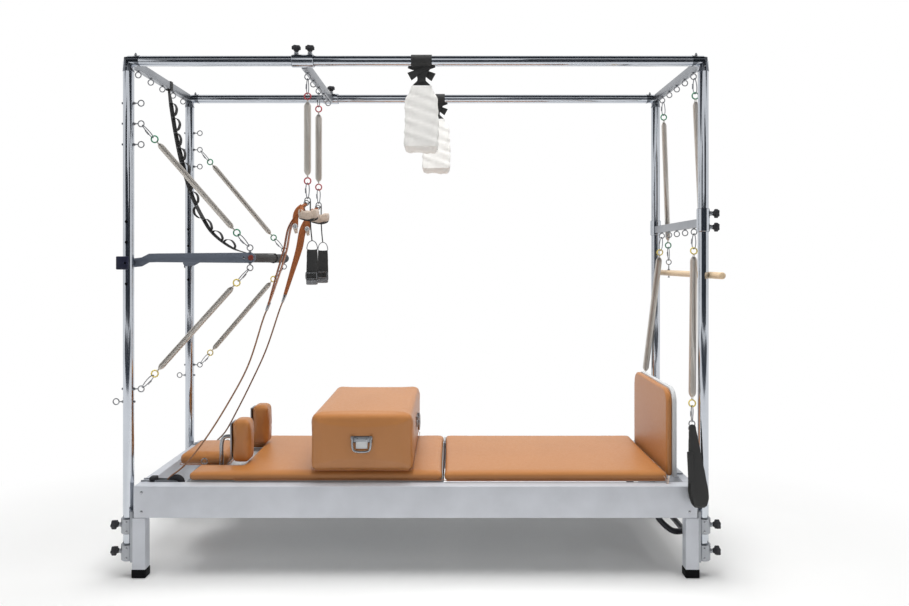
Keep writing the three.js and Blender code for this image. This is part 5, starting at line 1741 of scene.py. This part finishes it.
@dataclass(frozen=True)
class FootStraps:
    """Black foot straps under the leg springs, leaning outwards, each with a grip tab."""

    springs: SpringSet
    lean: float = 8
    loop: HangingLoop = HangingLoop(340, 52, 12, 80, 0.3, 300, 14, 0.55, 85)

    def build(self) -> None:
        """Makes both straps."""
        for side, sy in SIDES:
            end = self.springs.leg_end(sy)[1]
            band = self.loop.band_piece(Bench.padding(self.loop.breadth, 10.5, 24), 0.5)
            tab = Bench.block((-32, sy * 13, -238), (-6, sy * 20, -112), 3)
            stitch = [Bench.block((-30, sy * 19, z), (-8, sy * 21.2, z + 1.4), 0.5) for z in (-232, -120)]
            rings = [Bench.ring((0, 0, 0), 30, 5), Bench.ring((0, 0, -19), 34, 5)]
            matrix = Matrix.Rotation(math.radians(sy * self.lean), 4, "X")
            matrix.translation = end
            parts = Look.WEBBING.on(band, tab) + Look.BLACK.on(*stitch) + Look.STEEL.on(*rings)
            piece = fitted(f"foot_strap_{side}_band", Bench.moved(parts, matrix), f"foot_strap_{side}",
                           Look.WEBBING, f"foot_strap_{side}")


@dataclass(frozen=True)
class HandPieces:
    """What hangs from the two rings under the arm springs: cuffs, hand loops and leather straps."""

    hubs: tuple[Triple, ...] = ((SLIDER_X, -250, 1595), (SLIDER_X, 0, 1595))
    knots: tuple[Triple, ...] = ((-650, -245, 1138), (-638, -10, 1160))
    aside: float = 20
    stem: float = 186
    ring_drop: float = 25
    loop: HangingLoop = HangingLoop(156, 40, 8, 46, 0.94, 12)

    def cuff(self, side: str, hub: Vector) -> None:
        """One black cuff with its D-ring, buckle and grip tape."""
        low = Matrix.Translation(hub + Vector((self.aside, 0, -self.stem - self.ring_drop)))
        band = self.loop.band_piece(Bench.padding(self.loop.breadth, 7, 20), 0.4)
        tape = Bench.block((-22.5, -21.5, -157), (22.5, 16, -134), 5)
        flap = Bench.block((-23, -21, -136), (6, -14, -100), 2)
        frame_line = ((-24, -13), (0, -13), (12, -13), (24, -13), (24, 0), (24, 13), (12, 13), (0, 13),
                      (-24, 13), (-24, 0))
        buckle = Bench.swept([Vector((x, -23, z - 118)) for x, z in frame_line], Bench.round(3.4, 10),
                             looped=True)
        ring = Bench.swept(Bench.curve([(-19, 0, -4), (-21.5, 0, 12), (-14, 0, 28), (0, 0, 35), (14, 0, 28),
                                        (21.5, 0, 12), (19, 0, -4)], 48, True),
                           Bench.round(4, 12), looped=True)
        parts = Look.WEBBING.on(band, flap) + Look.VELCRO.on(tape) + Look.STEEL.on(buckle, ring)
        Bench.moved(parts, low)
        stem = Bench.curve([(12, 0, -3), (12, 0, -60), (14, 0, -120), (19, 0, 12 - self.stem)], 30,
                           origin=hub)
        parts += Look.WEBBING.on(Bench.swept(stem, Bench.flat(14, 3.4), Y))
        parts += Look.STEEL.on(Bench.ring(hub, 30, 5))
        piece = fitted(f"cuff_{side}_band", parts, "slider", Look.WEBBING, f"cuff_{side}")

    def pull_strap(self, side: str, hub: Vector, knot: Vector) -> None:
        """One leather strap with its tab, stud and ferrule."""
        reach = knot - hub
        top = hub + Vector((-9, 0, -20))
        line = [top, *(hub + Vector((reach.x * a, reach.y * b, reach.z * c)) for a, b, c in
                       ((0.43, 0.2, 0.24), (0.575, 0.5, 0.48), (0.8, 0.8, 0.76))), knot]
        route, slope = Bench.curve(line, 60), reach.normalized()
        shares = [i / 59 for i in range(60)]
        if side == "front":
            parts = Look.LEATHER.on(*(Bench.swept(
                [p + X * (way * 6.5 * math.sin(math.pi * s) ** 0.6) for s, p in zip(shares, route)],
                Bench.flat(28, 3.6), Y, [(1 - 0.5 * max(s - 0.5, 0), 1) for s in shares]) for way in (-1, 1)))
        else:
            turn = [Vector((min(i / 12, 1), 1 - min(i / 12, 1) * 0.85, 0)) for i in range(60)]
            parts = Look.LEATHER.on(Bench.swept(
                route, Bench.flat(32, 4), turn, [(1 - 0.9 * max(s - 0.42, 0), 1) for s in shares]))
        tab = Bench.curve([(-20, -9, -26), (-40, -9, -44), (-50, -9, -70), (-52, -9, -117)], 30, origin=hub)
        parts += Look.LEATHER.on(Bench.swept(tab, Bench.flat(26, 4), Vector((1, -0.1, 0))))
        tip = Bench.curve([(-52, -9, -116), (-50, -9, -128), (-47, -9, -144)], 10, origin=hub)
        parts += Look.CREAM.on(Bench.swept(tip, Bench.padding(22, 7, 14), X,
                                           [(1 - 0.05 * i, 1) for i in range(10)]))
        stud = hub + Vector((-52, -11, -113))
        parts += Look.STEEL.on(Bench.ring(stud - Y * 4, 14, 3))
        parts += Look.PANEL.on(Bench.rod(stud, stud - Y * 4, 25, 20, bevel=1.5))
        parts += Look.STEEL.on(Bench.rod(knot - slope * 13, knot + slope * 26, 15, 12, bevel=2),
                               Bench.ring(hub + Vector((-5, 0, -11)), 26, 4.2))
        fitted(f"pull_strap_{side}_leather", parts, "slider", Look.LEATHER, f"pull_strap_{side}")

    @staticmethod
    def hand_loop(side: str, hub: Vector) -> None:
        """The fleece hand loop beside the leather strap, with its webbing rim and two leather tabs."""
        middle = hub + Vector((4, 0, -61))
        oval = [middle + Vector((math.cos(TURN * k / 56) * 40, math.sin(TURN * k / 56) * 29,
                                 math.cos(TURN * k / 28) * 5)) for k in range(56)]
        wave = [(1 + 0.08 * math.sin(TURN * k / 8), 1 + 0.2 * math.sin(TURN * k / 7)) for k in range(56)]
        fleece = Bench.swept(oval, [(x * 19, y * 5.6) for x, y in Bench.round(2, 22)], Z, wave, looped=True)
        rim = Bench.swept([p - Z * 19 for p in oval], Bench.flat(9, 3.4), Z, looped=True)
        tabs = [Bench.swept(Bench.curve([(-6, 0, -14), (-22, way * 12, -30), (-20, way * 26, -49)], 16,
                                        origin=hub), Bench.flat(16, 3), X) for way in (-1, 1)]
        parts = Look.CREAM.on(fleece) + Look.WEBBING.on(rim) + Look.LEATHER.on(*tabs)
        piece = fitted(f"pull_strap_{side}_hand_loop", parts, "slider", Look.CREAM)

    def build(self) -> None:
        """Makes all four."""
        for (side, _), hub, knot in zip(SIDES, self.hubs, self.knots):
            self.cuff(side, Vector(hub))
            self.pull_strap(side, Vector(hub), Vector(knot))
            self.hand_loop(side, Vector(hub))


@dataclass(frozen=True)
class Ropes:
    """Cotton ropes from the leather straps, over the pulleys, to the carriage."""

    diameter: float = 7
    routes: tuple[tuple[Triple, ...], ...] = (
        ((-736, -255, 876), (-820, -265, 713), (-914, -276, 561), (-1000, -286, 450)),
        ((-751, 85, 897), (-856, 190, 716), (-932, 215, 575), (-1005, 265, 460)),
    )
    wraps: tuple[float, ...] = (140, 180, 225, 270)
    wrap_radius: float = 37.5
    bound: float = 50

    def build(self) -> None:
        """Makes both ropes."""
        hands = HandPieces()
        for i, (side, sy) in enumerate(SIDES):
            hub, knot = Vector(hands.hubs[i]), Vector(hands.knots[i])
            slope = (knot - hub).normalized()
            start = knot + slope * 26.3
            px, py, pz = PULLEY
            around = [Vector((px + self.wrap_radius * math.cos(math.radians(a)), sy * py,
                              pz + self.wrap_radius * math.sin(math.radians(a)))) for a in self.wraps]
            anchor = Vector((ROPE_EYE[0], sy * ROPE_EYE[1], ROPE_EYE[2]))
            line = [start, start + slope * self.bound, *self.routes[i], *around,
                    anchor - X * 25, anchor - X * 12, anchor]
            route = Bench.curve(line, 140)
            rope = Look.ROPE.on(Bench.swept(route, Bench.round(self.diameter, 14)))
            piece = fitted(f"pull_rope_{side}_cotton", rope, "", Look.ROPE, f"pull_rope_{side}")
            length = Bench.length(route)
            log.info("pull_rope_%s is %.4f m long", side, length)
            self.diameter * MM
            [p * MM for p in route]
            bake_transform(piece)


@dataclass(frozen=True)
class SafetyStrap:
    """The daisy-chain strap from the head crossbar to the push-through bar."""

    across: float = 75
    width: float = 25
    thick: float = 3
    points: tuple[Pair, ...] = (
        (-1179, 1917), (-1116, 1675), (-1043, 1520), (-990, 1450), (-908, 1392))
    grip: Pair = (-710.5, 1344)
    loops: int = 11
    hoop_radius: float = 22

    def build(self) -> None:
        y = self.across
        start = Vector((-POST_X, y, RAIL_Z - 20))
        tail = Vector((self.grip[0] - 120, y, self.grip[1] + 22.3))
        route = Bench.curve([start, *(Vector((x, y, z)) for x, z in self.points), tail], 90)
        side = []
        for k in range(len(route)):
            share = k / (len(route) - 1)
            open_ = min(share / 0.08, 1) * 0.55 + 0.6 * math.exp(-((share - 0.36) / 0.07) ** 2)
            side.append(Vector((open_ * min((1 - share) / 0.1, 1), 1, 0)).normalized())
        band = Bench.swept(route, Bench.flat(self.width, self.thick), side)
        wrap = [Vector((-POST_X + x, y, RAIL_Z + z)) for x, z in
                ((0, -20), (-14.6, -19.6), (-14.8, 0), (-14.6, 19.6), (0, 20), (14.6, 19.6), (14.8, 0),
                 (14.6, -19.6))]
        wrapped = Bench.swept(wrap, Bench.flat(self.width, self.thick), Y, looped=True)
        parts = Look.WEBBING.on(wrapped)
        for k in range(self.loops):
            first, last = route[6 + k * 7], route[12 + k * 7]
            flow = (last - first).normalized()
            out = flow.cross(Y).normalized() * (-26 if k == 7 else 24 + 5 * math.sin(k * 2.1))
            bow = Bench.curve([first, first.lerp(last, 0.12) + out * 0.7, first.lerp(last, 0.5) + out,
                               first.lerp(last, 0.9) + out * 0.6, last], 24)
            parts += Look.WEBBING.on(Bench.swept(
                bow, Bench.flat(self.width - 5, 2.6), Vector((0.25, 1, 0))))
            parts += Look.VELCRO.on(Bench.swept(
                [first - flow * 2, first, first + flow * 2], Bench.flat(self.width - 3, self.thick + 1),
                side[6 + k * 7]))
        piece = fitted("safety_strap_band", Look.WEBBING.on(band), "", Look.WEBBING, "safety_strap")
        length = Bench.length(route)
        log.info("safety_strap is %.4f m long", length)
        trim = fitted("safety_strap_loops", parts, "", Look.WEBBING)
        [p * MM for p in route]
        for part in (piece, trim):
            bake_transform(part)
        hoop = [(x, y, z) for x, z in arc(self.grip, self.hoop_radius, 90, -110, 16)]
        closing = Bench.curve([tail, *hoop, tail - Z * 5], 70)
        fitted("safety_strap_hoop", Look.WEBBING.on(Bench.swept(
            closing, Bench.flat(self.width, self.thick), Y)), "push_bar", Look.WEBBING)


# The studio

@dataclass(frozen=True)
class Studio:
    """Pale floor, white surroundings, soft lamps and dark cards for the chrome to reflect."""

    eye: Triple = (0.151, -3.252, 1.3287)
    lens: float = 27.2
    shift: Pair = (0.0033, -0.0458)
    pool: Triple = (0.52, 0.85, 0)
    cards: tuple[tuple[str, tuple, tuple, tuple], ...] = (
        ("front_low_card", (0.2, -6.0, 1.7), (13.0, 2.8), (math.pi / 2, 0, 0)),
        ("front_left_card", (-4.4, -6.0, 4.1), (5.0, 2.0), (math.pi / 2, 0, 0)),
        ("front_right_card", (4.4, -6.0, 4.1), (5.0, 2.0), (math.pi / 2, 0, 0)),
        ("near_card", (0.2, -4.5, 0.02), (13.0, 3.6), (0, 0, 0)),
        ("left_card", (-5.4, 2.4, 1.6), (1.4, 3.0), (math.pi / 2, 0, -0.9)),
        ("right_card", (5.4, 2.4, 1.6), (1.4, 3.0), (math.pi / 2, 0, 0.9)),
        ("top_card", (0, -1.9, 5.6), (14.0, 5.2), (0, 0, 0)),
    )

    def camera(self) -> None:
        """The camera at the photograph's place."""
        data = bpy.data.cameras.new("view")
        data.lens, data.sensor_width, data.clip_end = self.lens, 36, 100
        data.shift_x, data.shift_y = self.shift
        camera = Bench.linked("view", data)
        camera.location, camera.rotation_euler = self.eye, (math.pi / 2, 0, 0)
        bpy.context.scene.camera = camera
        bpy.context.scene.view_settings.view_transform = "Standard"

    def world(self) -> None:
        """White for the camera and reflections, a plain level of light otherwise."""
        world = bpy.data.worlds.new("studio")
        world.use_nodes = True
        bpy.context.scene.world = world
        tree, links = world.node_tree, world.node_tree.links
        paths = tree.nodes.new("ShaderNodeLightPath")
        camera, glossy, through = (Signal(tree, paths.outputs[f"Is {kind} Ray"])
                                   for kind in ("Camera", "Glossy", "Transmission"))
        level = (camera + through) * 0.7 + glossy * 0.6 + 0.3
        back = next(n for n in tree.nodes if n.type == "BACKGROUND")
        back.inputs["Color"].default_value = (1, 1, 1, 1)
        links.new(level.math("MINIMUM", level, 1.0).socket, back.inputs["Strength"])

    def floor(self) -> None:
        """A wide pale floor that keeps the table's shadow."""
        bpy.ops.mesh.primitive_grid_add(x_subdivisions=8, y_subdivisions=8, size=60, location=(0, 0, -0.001))
        floor = Bench.settle()
        floor.name = "floor"
        tree = Tree("pale_floor")
        dust = tree.noise(2, 3)
        tree.finish(Base_Color=tree.blended(dust, (248, 248, 247), (244, 244, 243)),
                    Roughness=0.9 + dust * 0.05)
        spread = tree.node("ShaderNodeVectorMath", {"operation": "LENGTH"}, {0: tree.place(self.pool)})
        away = tree.out(tree.node("ShaderNodeMapRange", {"interpolation_type": "SMOOTHSTEP"}, {
            "Value": tree.out(spread, 1), "From Min": 0.8, "From Max": 1.5}))
        paths = tree.node("ShaderNodeLightPath", {}, {})
        seen = tree.out(paths, 0) + Signal(tree.nodes, paths.outputs["Is Glossy Ray"])
        seen = seen + Signal(tree.nodes, paths.outputs["Is Transmission Ray"])
        glow = tree.node("ShaderNodeEmission", {}, {"Color": (1, 1, 1, 1), "Strength": 1.0})
        mixed = tree.node("ShaderNodeMixShader", {}, {
            0: away * seen, 1: Signal(tree.nodes, tree.shader.outputs[0]), 2: tree.out(glow)})
        out = next(n for n in tree.nodes.nodes if n.type == "OUTPUT_MATERIAL")
        tree.feed(out.inputs["Surface"], tree.out(mixed))
        floor.data.materials.append(tree.material)

    def card(self, name: str, place: Point, size: Pair, turn: Point) -> None:
        """A dark card that only reflections see."""
        bpy.ops.mesh.primitive_plane_add(size=1, location=place, rotation=turn, scale=(*size, 1))
        card = bpy.context.object
        card.name, card.scale = name, (*size, 1)
        tree = Tree(f"{name}_cloth")
        tree.finish(Base_Color=srgb(66, 71, 79), Roughness=1.0)
        card.data.materials.append(tree.material)
        card.visible_camera = card.visible_diffuse = card.visible_shadow = False

    def lamps(self) -> None:
        """Soft lamps overhead and at both front corners."""
        for name, place, size, power, turn in (
                ("top", (0.2, -0.1, 4.6), 4.0, 250, (0.03, 0, 0)),
                ("front_left", (-3.4, -4.2, 3.2), 2.6, 24, (0.95, 0, -0.68)),
                ("front_right", (3.6, -3.8, 2.4), 2.4, 10, (1.1, 0, 0.75))):
            data = bpy.data.lights.new(name, "AREA")
            data.shape, data.size, data.energy = "DISK", size, power
            lamp = Bench.linked(name, data)
            lamp.location, lamp.rotation_euler = place, turn
            lamp.visible_glossy = False

    def build(self) -> None:
        """Sets the studio up round the table."""
        self.world()
        self.floor()
        for name, place, size, turn in self.cards:
            self.card(name, place, size, turn)
        self.lamps()


def main() -> None:
    """Builds the table in order and sets up the studio."""
    logging.basicConfig(level=logging.INFO, format="%(message)s")
    studio = Studio()
    studio.camera()
    Ropes().build()
    SafetyStrap().build()
    canopy, springs = Canopy(), SpringSet()
    canopy.build()
    MovingBar(canopy, "sliding_crossbar", "slider_knob", "slider", (SLIDER_X, 0, 2170), 125,
              (1, 0, 0), (0, 0, 1), (0, 0, 8), (92, 74)).build()
    MovingBar(canopy, "height_crossbar", "height_knob", "height_bar", (POST_X, 0, 1493), 115,
              (0, 0, 1), (1, 0, 0), (0, 0, 10), (97, 74)).build()
    PushBar().build()
    springs.build()
    Bed().build()
    Carriage().build()
    SittingBox().build()
    FootEnd().build()
    Slings().build()
    FootStraps(springs).build()
    HandPieces().build()
    studio.build()


if __name__ == "__main__":
    main()
